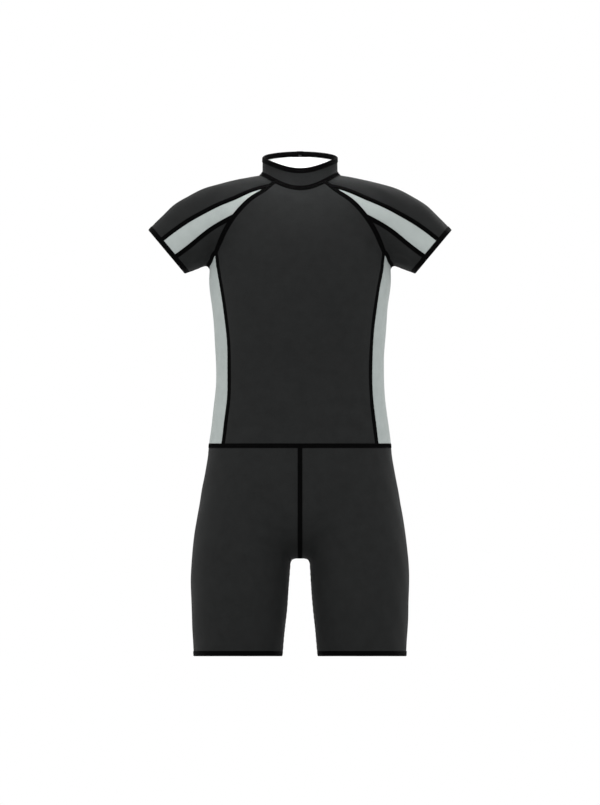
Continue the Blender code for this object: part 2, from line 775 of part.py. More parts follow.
def make_sleeves(seams, dark, grey):
    under_front = seams.under_front
    stripe_end = 1 + STRIPE_COLUMNS
    main_front_top = join(seams.collar["shoulder_front"][::-1], seams.front_raglan[:2])
    main_back_top = join(seams.collar["shoulder_back"], seams.back_raglan,
                         seams.under_back[::-1])
    main = [
        patch(main_front_top, seams.hem_top, seams.sleeve_ridge, seams.stripe_upper),
        patch(main_back_top, seams.hem_back, seams.sleeve_ridge, seams.underarm),
    ]
    stripe = patch(seams.front_raglan[1:stripe_end + 1], seams.hem_stripe,
                   seams.stripe_upper, seams.stripe_lower)
    front_top = join(seams.front_raglan[stripe_end:], under_front)
    front = patch(front_top, seams.hem_front, seams.stripe_lower, seams.underarm)
    for side in ("left", "right"):
        cloth(f"sleeve_{side}_main", both_sides(main, side), dark)
        cloth(f"sleeve_{side}_stripe", both_sides([stripe], side), grey)
        cloth(f"sleeve_{side}_front", both_sides([front], side), dark)


def make_shorts(seams, material):
    grids = [
        patch(seams.waist_shorts_front, seams.thigh_front, seams.centre_front, seams.hip_guide),
        patch(seams.waist_shorts_back[::-1], seams.thigh_back, seams.centre_back,
              seams.hip_guide),
        patch(seams.thigh_front, seams.hem_leg_front, seams.inseam, seams.leg_guide),
        patch(seams.thigh_back, seams.hem_leg_back, seams.inseam, seams.leg_guide),
    ]
    for side in ("left", "right"):
        cloth("shorts_" + side, both_sides(grids, side), material)


def make_zip_chain(seams, material):
    """Both tapes and the closed teeth, as one strip behind the back edges."""
    tape_back = ZIP_TAPE_FACE - ZIP_TAPE_WALL
    profile = (
        (-ZIP_TAPE, tape_back), (-ZIP_TAPE, ZIP_TAPE_FACE), (-ZIP_CHAIN, ZIP_TAPE_FACE),
        (-ZIP_CHAIN, ZIP_PROUD), (ZIP_CHAIN, ZIP_PROUD), (ZIP_CHAIN, ZIP_TAPE_FACE),
        (ZIP_TAPE, ZIP_TAPE_FACE), (ZIP_TAPE, tape_back),
    )
    edge = join(seams.collar_end, seams.zip_edge)
    heights = edge[:, 2].copy()
    heights[0] -= ZIP_END
    heights[-1] += ZIP_END
    points = []
    for height in heights:
        places = [(across, height) for across, _ in profile]
        base = FORM.press_along_y(places, 1)
        lift = np.array([height for _, height in profile])[:, None]
        points.append(base + FORM.normals(base) * lift)
    sides = len(profile)
    faces = []
    for r in range(len(heights) - 1):
        for s in range(sides):
            a, b = r * sides + s, r * sides + (s + 1) % sides
            faces += [(b, a, a + sides), (b, a + sides, b + sides)]
    last = (len(heights) - 1) * sides
    cap = ((0, 1, 2), (0, 2, 5), (2, 3, 4), (2, 4, 5), (0, 5, 7), (5, 6, 7))
    faces += [(a, b, c) for a, b, c in cap]
    faces += [(c + last, b + last, a + last) for a, b, c in cap]
    points = np.concatenate(points)
    make_object("zip_chain", points, facing_out(points, faces), material)


class Frame:
    """A place on the closed zip: across is +X, down runs along the teeth, out leaves them."""

    def __init__(self, height):
        above, self.base, below = FORM.press_along_y(
            [(0, height + 4), (0, height), (0, height - 4)], 1)
        self.down = (below - above) / np.linalg.norm(below - above)
        self.across = np.array([1.0, 0.0, 0.0])
        self.out = np.cross(self.across, -self.down)
        self.out /= np.linalg.norm(self.out)
        if self.out[1] < 0:
            self.out = -self.out

    def point(self, across, down, out):
        return self.base + across * self.across + down * self.down + out * self.out


def prism(outline, low, high, place):
    """A flat outline given a thickness. place turns (u, v, w) into a point."""
    count = len(outline)
    points = [place(u, v, low) for u, v in outline] + [place(u, v, high) for u, v in outline]
    faces = [(0, i, i + 1) for i in range(1, count - 1)]
    faces += [(count, count + i + 1, count + i) for i in range(1, count - 1)]
    for i in range(count):
        j = (i + 1) % count
        faces += [(i, j + count, j), (i, i + count, j + count)]
    return np.array(points), faces


def facing_out(points, faces):
    volume = sum(np.dot(points[a], np.cross(points[b], points[c])) for a, b, c in faces)
    if volume < 0:
        return [face[::-1] for face in faces]
    return faces


def round_outline(centre, radius, start, end, count=ROUND_SIDES):
    turns = np.radians(np.linspace(start, end, count + 1))
    return [(centre[0] + radius * math.cos(t), centre[1] + radius * math.sin(t)) for t in turns]


def union(name, solids, material):
    """Separate closed solids that overlap, made one with exact Booleans."""
    items = []
    for i, (points, faces) in enumerate(solids):
        items.append(make_object(f"{name}_{i}", points, facing_out(points, faces), material))
    whole = items[0]
    whole.name = name
    for item in items[1:]:
        item.hide_render = True
        item.display_type = "WIRE"
        modifier = whole.modifiers.new("join_" + item.name, "BOOLEAN")
        modifier.operation = "UNION"
        modifier.solver = "EXACT"
        modifier.object = item
    return whole


def slider_outline():
    """The slider's plate from above: wide shoulders, a waist and a round tail."""
    half, waist = SLIDER_WIDTH / 2, SLIDER_WAIST / 2
    top, bottom = -SLIDER_LENGTH / 2, SLIDER_LENGTH / 2
    right = [(waist * 0.7, bottom), (waist, bottom - 1), (waist, bottom - 4),
             (half, top + 3.5), (half, top + 1), (half - 1, top)]
    return right + [(-across, down) for across, down in reversed(right)]


def make_slider(frame, material):
    low, high = SLIDER_FACES
    solids = [prism(slider_outline(), low, high, frame.point)]
    ear = round_outline((0, HINGE_LIFT), EAR_RADIUS, 0, 180)
    ear += [(-EAR_RADIUS, high - 0.6), (EAR_RADIUS, high - 0.6)]
    for side in (-1, 1):
        solids.append(prism(ear, side * EAR_INNER, side * (EAR_INNER + EAR_WIDTH),
                            lambda u, v, w: frame.point(w, u, v)))
    union("zip_slider", solids, material)


def make_pull(frame, material):
    """The tab and the barrel that it turns on, between the slider's ears."""
    half_barrel = EAR_INNER - BARREL_GAP
    barrel = round_outline((0, HINGE_LIFT), BARREL_RADIUS, 0, 360)[:-1]
    solids = [prism(barrel, -half_barrel, half_barrel, lambda u, v, w: frame.point(w, u, v))]
    neck, half = TAB_NECK_WIDTH / 2, TAB_WIDTH / 2
    shoulder = EAR_RADIUS + 2.5
    end = round_outline((0, TAB_LENGTH - half), half, 0, 180)
    outline = [(neck, 0.2), (neck, shoulder)] + end + [(-neck, shoulder), (-neck, 0.2)]
    low, high = HINGE_LIFT - TAB_WALL / 2, HINGE_LIFT + TAB_WALL / 2
    solids.append(prism(outline, low, high, frame.point))
    union("zip_pull", solids, material)


def main():
    clear_scene()
    dark = make_material("cloth_dark", (40, 41, 41), 0.75)
    grey = make_material("cloth_grey", (171, 178, 176), 0.75)
    tape = make_material("zip_black", (14, 14, 15), 0.6)
    metal = make_material("metal_dark", (60, 61, 63), 0.35, metallic=1.0)
    seams = Seams()
    make_collar(seams, dark)
    make_front(seams, dark)
    make_backs(seams, dark)
    make_sides(seams, grey)
    make_sleeves(seams, dark, grey)
    make_shorts(seams, dark)
    make_zip_chain(seams, tape)
    frame = Frame(SLIDER_HEIGHT)
    make_slider(frame, metal)
    make_pull(frame, metal)


main()
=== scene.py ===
"""The looks of the unitard: knit panels, seams, bound edges and a back zip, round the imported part.

Lengths are in millimetres until a mesh is made, and the form and seams follow the part's source.
"""

import math

import bpy
import numpy as np
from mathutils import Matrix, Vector, kdtree


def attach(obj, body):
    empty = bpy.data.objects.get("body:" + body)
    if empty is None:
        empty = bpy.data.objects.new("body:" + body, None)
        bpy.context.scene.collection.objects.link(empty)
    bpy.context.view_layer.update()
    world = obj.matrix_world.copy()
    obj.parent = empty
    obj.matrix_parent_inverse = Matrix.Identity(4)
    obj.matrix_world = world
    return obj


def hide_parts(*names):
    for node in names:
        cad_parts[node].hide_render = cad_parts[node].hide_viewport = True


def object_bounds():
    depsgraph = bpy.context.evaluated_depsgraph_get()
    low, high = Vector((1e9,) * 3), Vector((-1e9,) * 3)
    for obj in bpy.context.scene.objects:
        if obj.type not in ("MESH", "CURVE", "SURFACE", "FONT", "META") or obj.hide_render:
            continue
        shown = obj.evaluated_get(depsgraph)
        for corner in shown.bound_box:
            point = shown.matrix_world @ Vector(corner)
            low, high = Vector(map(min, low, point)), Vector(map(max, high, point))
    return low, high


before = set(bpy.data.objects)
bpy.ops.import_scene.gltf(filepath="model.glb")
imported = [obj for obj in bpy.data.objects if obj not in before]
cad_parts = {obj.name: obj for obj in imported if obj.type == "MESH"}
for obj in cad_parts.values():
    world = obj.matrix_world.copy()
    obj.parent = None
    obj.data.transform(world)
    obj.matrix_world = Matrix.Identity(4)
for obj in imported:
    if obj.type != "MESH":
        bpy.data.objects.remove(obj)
CAD_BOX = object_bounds()

MM = 0.001
BODY = "suit"

# Cloth
WALL = 1.2
WAIST_SEAM = -430.0
CROTCH = -610.5
LEG_HEM = -766.0

# Collar edges: height at the side, rise to the back, and droop to the front
COLLAR_SEAM = (4.5, 2.0, 21.8)
COLLAR_TOP = (30.0, 10.2, 16.3)
COLLAR_EASE = 0.12

# The form, from the top down. Depths are measured forwards and backwards from the middle.
NECK_SQUARENESS = 2.1
NECK_COLUMNS = ("height", "half_width", "middle", "front", "back")
NECK = (
    (60, 60, 0, 56, 56),
    (30, 59.5, 4, 56, 56),
    (0, 60, 8, 56, 56),
    (-30, 58, 11, 54, 54),
    (-60, 40, 12, 40, 40),
)
TORSO_SQUARENESS = 2.3
TORSO_COLUMNS = ("height", "half_width", "front", "back")
TORSO = (
    (8, 30, 15, 40),
    (-20, 64, 40, 64),
    (-40, 92, 57, 76),
    (-70, 116, 77, 89),
    (-100, 130, 92, 96),
    (-150, 145, 107, 100),
    (-200, 141.5, 113, 97),
    (-260, 136.5, 107, 88),
    (-310, 134, 97, 81),
    (-360, 137, 92, 81),
    (-430, 145.5, 95, 94),
    (-480, 148, 96, 107),
    (-520, 146, 80, 98),
    (-560, 110, 40, 55),
    (-590, 30, 10, 15),
)
SEAT_MIDDLE = (0, 8, -514)
SEAT_RADII = (132, 99, 96.5)
LEG_SQUARENESS = 2.2
LEG_MIDDLE = 5
LEG_COLUMNS = ("height", "centre", "half_width", "front", "back")
LEG = (
    (-400, 60, 20, 20, 20),
    (-440, 68, 60, 60, 70),
    (-480, 74, 76, 84, 96),
    (-517, 79.5, 79.5, 92, 108),
    (-549, 85, 80.5, 92, 110),
    (-580, 91, 79, 91, 106),
    (-612, 94.5, 79, 89, 99),
    (-645, 96, 78.5, 87, 93),
    (-677, 97, 77, 85, 89),
    (-709, 98, 75, 82, 85),
    (-741, 98.5, 72.5, 79, 80),
    (-766, 99.5, 70.5, 77, 77),
    (-820, 100, 66, 73, 71),
)
ARM_SQUARENESS = 2.05
ARM_COLUMNS = ("axis_x", "axis_z", "middle", "half_height", "half_depth")
ARM = (
    (0, -45, 8, 43, 57),
    (50, -45, 8, 48, 61),
    (95, -53, 7, 49, 62),
    (140, -69, 6, 52, 60),
    (175, -93, 5, 54.5, 54),
    (213, -119.3, 4, 45, 48.5),
    (243, -150.8, 3, 41, 44),
)

# The row of ARM at the sleeve's hem, the points along the arm's axis, and the y of its top seam
SLEEVE_HEM = 5
AXIS_POINTS = 90
ARM_MIDDLE = 7

# A y inside every part of the form, and one well outside it
INSIDE_Y = 5.0
OUTSIDE_Y = 180.0

# How softly one part of the form runs into the next. The arm's blend tightens down to the armpit.
NECK_BLEND = 9.0
ARM_BLEND_HEIGHTS = (-125, -75)
ARM_BLENDS = (14.0, 28.0)
LEG_BLEND = 10.0
HIP_BLEND = 18.0

# The neck is felt above the first height, the arms above the second, the legs below the third
NECK_REACH = -75
ARM_REACH = -200
LEG_REACH = -375
FAR_OFF = 500.0

# The neck's radius, and the shares of the front raglan seam where the stripe starts and ends
NECK_RADIUS = 58
STRIPE_START = 0.07
STRIPE_END = 0.57

# Seams as seen from the front or from behind, as (x, z)
FRONT_RAGLAN = ((41, -10), (57, -20), (78, -34), (101, -57), (119, -84), (134.5, -120))
BACK_RAGLAN = ((42, 3), (55, -12.5), (73, -29), (100, -58), (123, -92), (134.5, -120))
SIDE_SEAM = ((134.5, -120), (129.5, -155), (120, -214), (113.3, -305), (115, -358), (124, -430))
SLEEVE_RIDGE = ((102, -5), (158, -21), (198, -45), (230, -69))
STRIPE_UPPER = ((71, -19), (101, -31.5), (131, -44), (166, -62), (199, -83))
STRIPE_LOWER = ((140, -82), (158, -95.5), (174, -109))

# The armpit, and the angles round the sleeve's hem where the stripe ends
ARMPIT = (141, 5, -131)
STRIPE_HEM_ANGLES = (64, 109)

# Where seams that can't be seen run before they are pressed on: (y, z) on the middle plane
CENTRE_FRONT = ((-88, -510), (-63, -570))
CENTRE_BACK = ((106, -510), (77, -570))
CROTCH_Y = 6
WAIST_SIDE = (145, 0, WAIST_SEAM)
HIP_SIDE = (165, 4, -530)
INSEAM = ((14, 6, -620), (20, 6, -680))
THIGH_RING = (88, 86, 90)
THIGH_RING_SKIP = 3
RING_POINTS = 80

# Segments along each seam, each made of this many fine ones
DETAIL = 6
FRONT_COLUMNS = 7 * DETAIL
SHOULDER_COLUMNS = (3 * DETAIL, 4 * DETAIL)
BACK_COLUMNS = 6 * DETAIL
SIDE_COLUMNS = 6 * DETAIL
RAGLAN_ROWS = 10 * DETAIL
SIDE_ROWS = 15 * DETAIL
COLLAR_ROWS = 3 * DETAIL
SLEEVE_ROWS = 12 * DETAIL
STRIPE_COLUMNS = 4 * DETAIL
SEAT_ROWS = 9 * DETAIL
LEG_ROWS = 8 * DETAIL

# How the steps grow along a seam, as a power: 1 is even
SLEEVE_EASE = 1.35
SIDE_EASE = 1.2
BACK_EASE = 1.2
INSEAM_EASE = 1.25

# The zip's half widths: of the gap between the edges, and over both tapes
ZIP_GAP = 2.6
ZIP_TAPE = 13.0

# How finely the form and its seams are worked out
TABLE_POINTS = 1500
CURVE_POINTS = 160
LEVEL_POINTS = 80
BACK_POINTS = 300
ZIP_POINTS = 400
SLOPE_STEP = 0.02
LONGEST_MOVE = 12.0
HALVINGS = 30
TINY = 1e-6


def smooth_curve(places, values):
    """A natural cubic spline through the values, held level beyond its two ends."""
    places = np.array(places, float)
    values = np.array(values, float)
    steps = np.diff(places)
    slopes = np.diff(values) / steps
    count = len(places)
    matrix = np.eye(count)
    bends = np.zeros(count)
    for i in range(1, count - 1):
        matrix[i, i - 1:i + 2] = (steps[i - 1], 2 * (steps[i - 1] + steps[i]), steps[i])
        bends[i] = 6 * (slopes[i] - slopes[i - 1])
    bends = np.linalg.solve(matrix, bends)

    def read(place):
        place = np.clip(place, places[0], places[-1])
        i = np.clip(np.searchsorted(places, place) - 1, 0, count - 2)
        ahead = places[i + 1] - place
        behind = place - places[i]
        step = steps[i]
        bend = (bends[i] * ahead ** 3 + bends[i + 1] * behind ** 3) / (6 * step)
        start = (values[i] / step - bends[i] * step / 6) * ahead
        end = (values[i + 1] / step - bends[i + 1] * step / 6) * behind
        return bend + start + end

    return read


def read_table(columns, rows):
    """Each named column as a smooth curve along the first one, and where that one ends."""
    data = np.array(sorted(rows), float)
    heights = np.linspace(data[0, 0], data[-1, 0], TABLE_POINTS)
    table = {"ends": (data[0, 0], data[-1, 0])}
    for i, name in enumerate(columns):
        values = smooth_curve(data[:, 0], data[:, i])(heights)
        table[name] = lambda height, values=values: np.interp(height, heights, values)
    return table


def section_distance(across, deep, half_width, half_depth, squareness):
    """How far a point lies outside a rounded section, measured from the section's middle."""
    reach = np.hypot(across, deep)
    level = np.abs(across / half_width) ** squareness + np.abs(deep / half_depth) ** squareness
    return reach - reach / np.maximum(level ** (1 / squareness), TINY)


def blend(first, second, softness):
    """The nearer of two surfaces, rounded where they meet."""
    near = np.maximum(softness - np.abs(first - second), 0) / softness
    return np.minimum(first, second) - near ** 2 * softness / 4


def only_where(mask, function, points):
    """A distance worked out only for the points it matters to."""
    result = np.full(len(points), FAR_OFF)
    if mask.any():
        result[mask] = function(points[mask])
    return result


class Form:
    """The smooth form under the cloth, as a signed distance: below 0 inside, above 0 outside."""

    def __init__(self):
        self.neck = read_table(NECK_COLUMNS, NECK)
        self.torso = read_table(TORSO_COLUMNS, TORSO)
        self.leg = read_table(LEG_COLUMNS, LEG)
        self.read_arm_axis()

    def read_arm_axis(self):
        rows = np.array(ARM, float)
        places = np.concatenate([[0], np.cumsum(np.hypot(*np.diff(rows[:, :2], axis=0).T))])
        along = np.linspace(0, places[-1], AXIS_POINTS)
        arm = {name: smooth_curve(places, rows[:, i]) for i, name in enumerate(ARM_COLUMNS)}
        self.arm = {name: curve(along) for name, curve in arm.items()}
        self.arm_axis = np.stack([self.arm["axis_x"], self.arm["axis_z"]], axis=1)
        along_axis = np.gradient(self.arm_axis, axis=0)
        self.arm_along = along_axis / np.hypot(*along_axis.T)[:, None]
        self.hem_index = int(np.argmin(np.abs(along - places[SLEEVE_HEM])))

    def tube(self, points, table, squareness, centre, middle):
        height = points[:, 2]
        deep = points[:, 1] - middle
        depth = np.where(deep < 0, table["front"](height), table["back"](height))
        across = points[:, 0] - centre
        around = section_distance(across, deep, table["half_width"](height), depth, squareness)
        low, high = table["ends"]
        return np.maximum(around, np.maximum(low - height, height - high))

    def neck_tube(self, points):
        middle = self.neck["middle"](points[:, 2])
        return self.tube(points, self.neck, NECK_SQUARENESS, 0, middle)

    def legs(self, points):
        centre = self.leg["centre"](points[:, 2])
        left = self.tube(points, self.leg, LEG_SQUARENESS, centre, LEG_MIDDLE)
        right = self.tube(points, self.leg, LEG_SQUARENESS, -centre, LEG_MIDDLE)
        return blend(blend(left, right, LEG_BLEND), self.seat(points), LEG_BLEND)

    def seat(self, points):
        level = np.linalg.norm((points - SEAT_MIDDLE) / SEAT_RADII, axis=1)
        reach = np.linalg.norm(points - SEAT_MIDDLE, axis=1)
        return reach - reach / np.maximum(level, TINY)

    def sleeve(self, points):
        flat = np.stack([np.abs(points[:, 0]), points[:, 2]], axis=1)
        ahead = np.einsum("psk,sk->ps", flat[:, None] - self.arm_axis, self.arm_along)
        index = np.clip((ahead > 0).sum(axis=1) - 1, 0, AXIS_POINTS - 2)
        rows = np.arange(len(points))
        start, end = ahead[rows, index], ahead[rows, index + 1]
        share = np.clip(start / np.maximum(start - end, TINY), 0, 1)

        def here(values):
            return values[index] * (1 - share) + values[index + 1] * share

        off_x = flat[:, 0] - here(self.arm_axis[:, 0])
        off_z = flat[:, 1] - here(self.arm_axis[:, 1])
        run_x, run_z = here(self.arm_along[:, 0]), here(self.arm_along[:, 1])
        up = (off_z * run_x - off_x * run_z) / np.hypot(run_x, run_z)
        deep = points[:, 1] - here(self.arm["middle"])
        high, wide = here(self.arm["half_height"]), here(self.arm["half_depth"])
        return section_distance(up, deep, high, wide, ARM_SQUARENESS)

    def distance(self, points):
        height = points[:, 2]
        torso = self.tube(points, self.torso, TORSO_SQUARENESS, 0, 0)
        sleeve = only_where(height > ARM_REACH, self.sleeve, points)
        upper = blend(torso, sleeve, np.interp(height, ARM_BLEND_HEIGHTS, ARM_BLENDS))
        neck = only_where(height > NECK_REACH, self.neck_tube, points)
        upper = blend(upper, neck, NECK_BLEND)
        lower = only_where(height < LEG_REACH, self.legs, points)
        return blend(upper, lower, HIP_BLEND)

    def slope(self, points):
        """The distance's gradient, by small central differences."""
        slopes = np.empty_like(points)
        for axis in range(3):
            move = np.zeros(3)
            move[axis] = SLOPE_STEP
            slopes[:, axis] = self.distance(points + move) - self.distance(points - move)
        return slopes / (2 * SLOPE_STEP)

    def normals(self, points):
        slopes = self.slope(points)
        return slopes / np.linalg.norm(slopes, axis=1, keepdims=True)

    def press(self, points, locked=None, rounds=12):
        """Moves points onto the form, never along the locked direction."""
        points = np.array(points, float)
        for _ in range(rounds):
            slopes = self.slope(points)
            if locked is not None:
                slopes = slopes - np.outer(slopes @ locked, locked)
            size = np.maximum(np.einsum("pk,pk->p", slopes, slopes), 1e-4)
            move = slopes * (self.distance(points) / size)[:, None]
            far = np.linalg.norm(move, axis=1)
            points -= move * np.minimum(1, LONGEST_MOVE / np.maximum(far, TINY))[:, None]
        return points

    def press_along_y(self, places, side):
        """The form's points at each (x, z), seen from the front (-1) or from behind (1)."""
        places = np.array(places, float)
        inner = np.full(len(places), INSIDE_Y)
        outer = np.full(len(places), OUTSIDE_Y * side)
        for _ in range(HALVINGS):
            middle = (inner + outer) / 2
            points = np.stack([places[:, 0], middle, places[:, 1]], axis=1)
            inside = self.distance(points) < 0
            inner = np.where(inside, middle, inner)
            outer = np.where(inside, outer, middle)
        return np.stack([places[:, 0], (inner + outer) / 2, places[:, 1]], axis=1)


FORM = Form()
LEVEL = np.array([0.0, 0.0, 1.0])
ACROSS = np.array([1.0, 0.0, 0.0])


def lengths_along(points):
    steps = np.linalg.norm(np.diff(points, axis=0), axis=1)
    return np.concatenate([[0], np.cumsum(steps)])


def spaced(points, shares):
    """Points at the given shares of a polyline's length."""
    along = lengths_along(points)
    places = np.array(shares) * along[-1]
    return np.stack([np.interp(places, along, points[:, i]) for i in range(3)], axis=1)


def evenly(points, count):
    return spaced(points, np.linspace(0, 1, count + 1))


def shortened(points, length):
    """A polyline without the last stretch of it."""
    share = 1 - length / lengths_along(points)[-1]
    return spaced(points, np.linspace(0, share, len(points)))


def every(points, step):
    """Points about a step apart along a polyline."""
    return evenly(points, max(2, round(lengths_along(points)[-1] / step)))


def through(knots):
    """A smooth curve through a few knots of any dimension."""
    knots = np.array(knots, float)
    places = lengths_along(knots)
    along = np.linspace(0, places[-1], CURVE_POINTS)
    return np.stack([smooth_curve(places, column)(along) for column in knots.T], axis=1)


def join(*curves):
    """Curves end to end, each shared end kept once."""
    return np.concatenate([curves[0]] + [curve[1:] for curve in curves[1:]])


def mirrored(points):
    return points * (-1, 1, 1)


def across_middle(path):
    """A path of the left half with its mirror image before it."""
    return join(mirrored(path)[::-1], path)


def pinned(curve, start, end):
    """A curve with its two ends put on points of other seams."""
    curve[0], curve[-1] = start, end
    return curve


def eased(count, power):
    """Shares from 0 to 1 whose steps grow along the way when the power is above 1."""
    return np.linspace(0, 1, count + 1) ** power


SLEEVE_SHARES = eased(SLEEVE_ROWS, SLEEVE_EASE)
SIDE_SHARES = eased(SIDE_ROWS, SIDE_EASE)


def seam_seen(knots, side, shares):
    """A seam given by what shows from the front (-1) or from behind (1)."""
    fine = FORM.press_along_y(through(knots), side)
    return FORM.press(spaced(fine, shares), rounds=4)


def seam_over(knots, shares):
    """A seam through knots in space, pressed onto the form."""
    fine = FORM.press(through(knots))
    return FORM.press(spaced(fine, shares), rounds=4)


def seam_between(knots, shares):
    """A seam pressed onto the form whose two ends are points of other seams."""
    return pinned(seam_over(knots, shares), knots[0], knots[-1])


def collar_ring(edge, angles):
    """Points round the neck at a collar edge's height. Angle 0 is the front, 90 the left."""
    side, rise, droop = edge
    turns = np.radians(angles)
    back = -np.cos(turns)
    rising = np.logaddexp(0, back / COLLAR_EASE) * COLLAR_EASE
    height = side + rise * rising - droop * np.minimum(back, 0) ** 2
    guess = np.stack([NECK_RADIUS * np.sin(turns), NECK_RADIUS * back, height], axis=1)
    return FORM.press(guess, LEVEL)


def collar_angles():
    """The angles of the left half's seam points, from the centre front to the zip."""
    front = math.degrees(math.asin(FRONT_RAGLAN[0][0] / NECK_RADIUS))
    back = 180 - math.degrees(math.asin(BACK_RAGLAN[0][0] / NECK_RADIUS))
    zip_edge = 180 - math.degrees(math.asin(ZIP_GAP / NECK_RADIUS))
    return {
        "front": np.linspace(0, front, FRONT_COLUMNS + 1),
        "shoulder_front": np.linspace(front, 90, SHOULDER_COLUMNS[0] + 1),
        "shoulder_back": np.linspace(90, back, SHOULDER_COLUMNS[1] + 1),
        "back": np.linspace(back, zip_edge, BACK_COLUMNS + 1),
    }


def sleeve_hem(start, end, count):
    """Part of the sleeve's hem. Angle 0 is the top, 90 the front and 180 the underarm."""
    i = FORM.hem_index
    centre_x, centre_z = FORM.arm_axis[i]
    run = FORM.arm_axis[i + 1] - FORM.arm_axis[i - 1]
    run = run / np.hypot(*run)
    along = np.array([run[0], 0, run[1]])
    out = np.array([-run[1], 0, run[0]])
    turns = np.radians(np.linspace(start, end, count + 1))
    centre = np.array([centre_x, FORM.arm["middle"][i], centre_z])
    up = FORM.arm["half_height"][i] * np.cos(turns)
    forward = FORM.arm["half_depth"][i] * np.sin(turns)
    guess = centre + np.outer(up, out) - np.outer(forward, (0, 1, 0))
    return FORM.press(guess, along)


def level_ring(height, centre, half_width, depth, start, end, count):
    """Part of a level ring round the form. Angle 0 is the left, 90 the front, 180 the right."""
    turns = np.radians(np.linspace(start, end, count + 1))
    guess = np.stack([
        centre + half_width * np.cos(turns),
        LEG_MIDDLE - depth * np.sin(turns),
        np.full(count + 1, height),
    ], axis=1)
    return FORM.press(guess, LEVEL)


def level_run(start, end, height, count):
    """Even points on a level seam between two of its points, round the form."""
    shares = eased(LEVEL_POINTS, 1)[:, None]
    guess = start * (1 - shares) + end * shares
    guess[:, 2] = height
    fine = FORM.press(guess, LEVEL)
    return FORM.press(evenly(fine, count), LEVEL, rounds=4)


def down_the_back(across, top, bottom, count):
    """Points down the back at one x, between two heights."""
    return FORM.press_along_y([(across, z) for z in np.linspace(top, bottom, count)], 1)


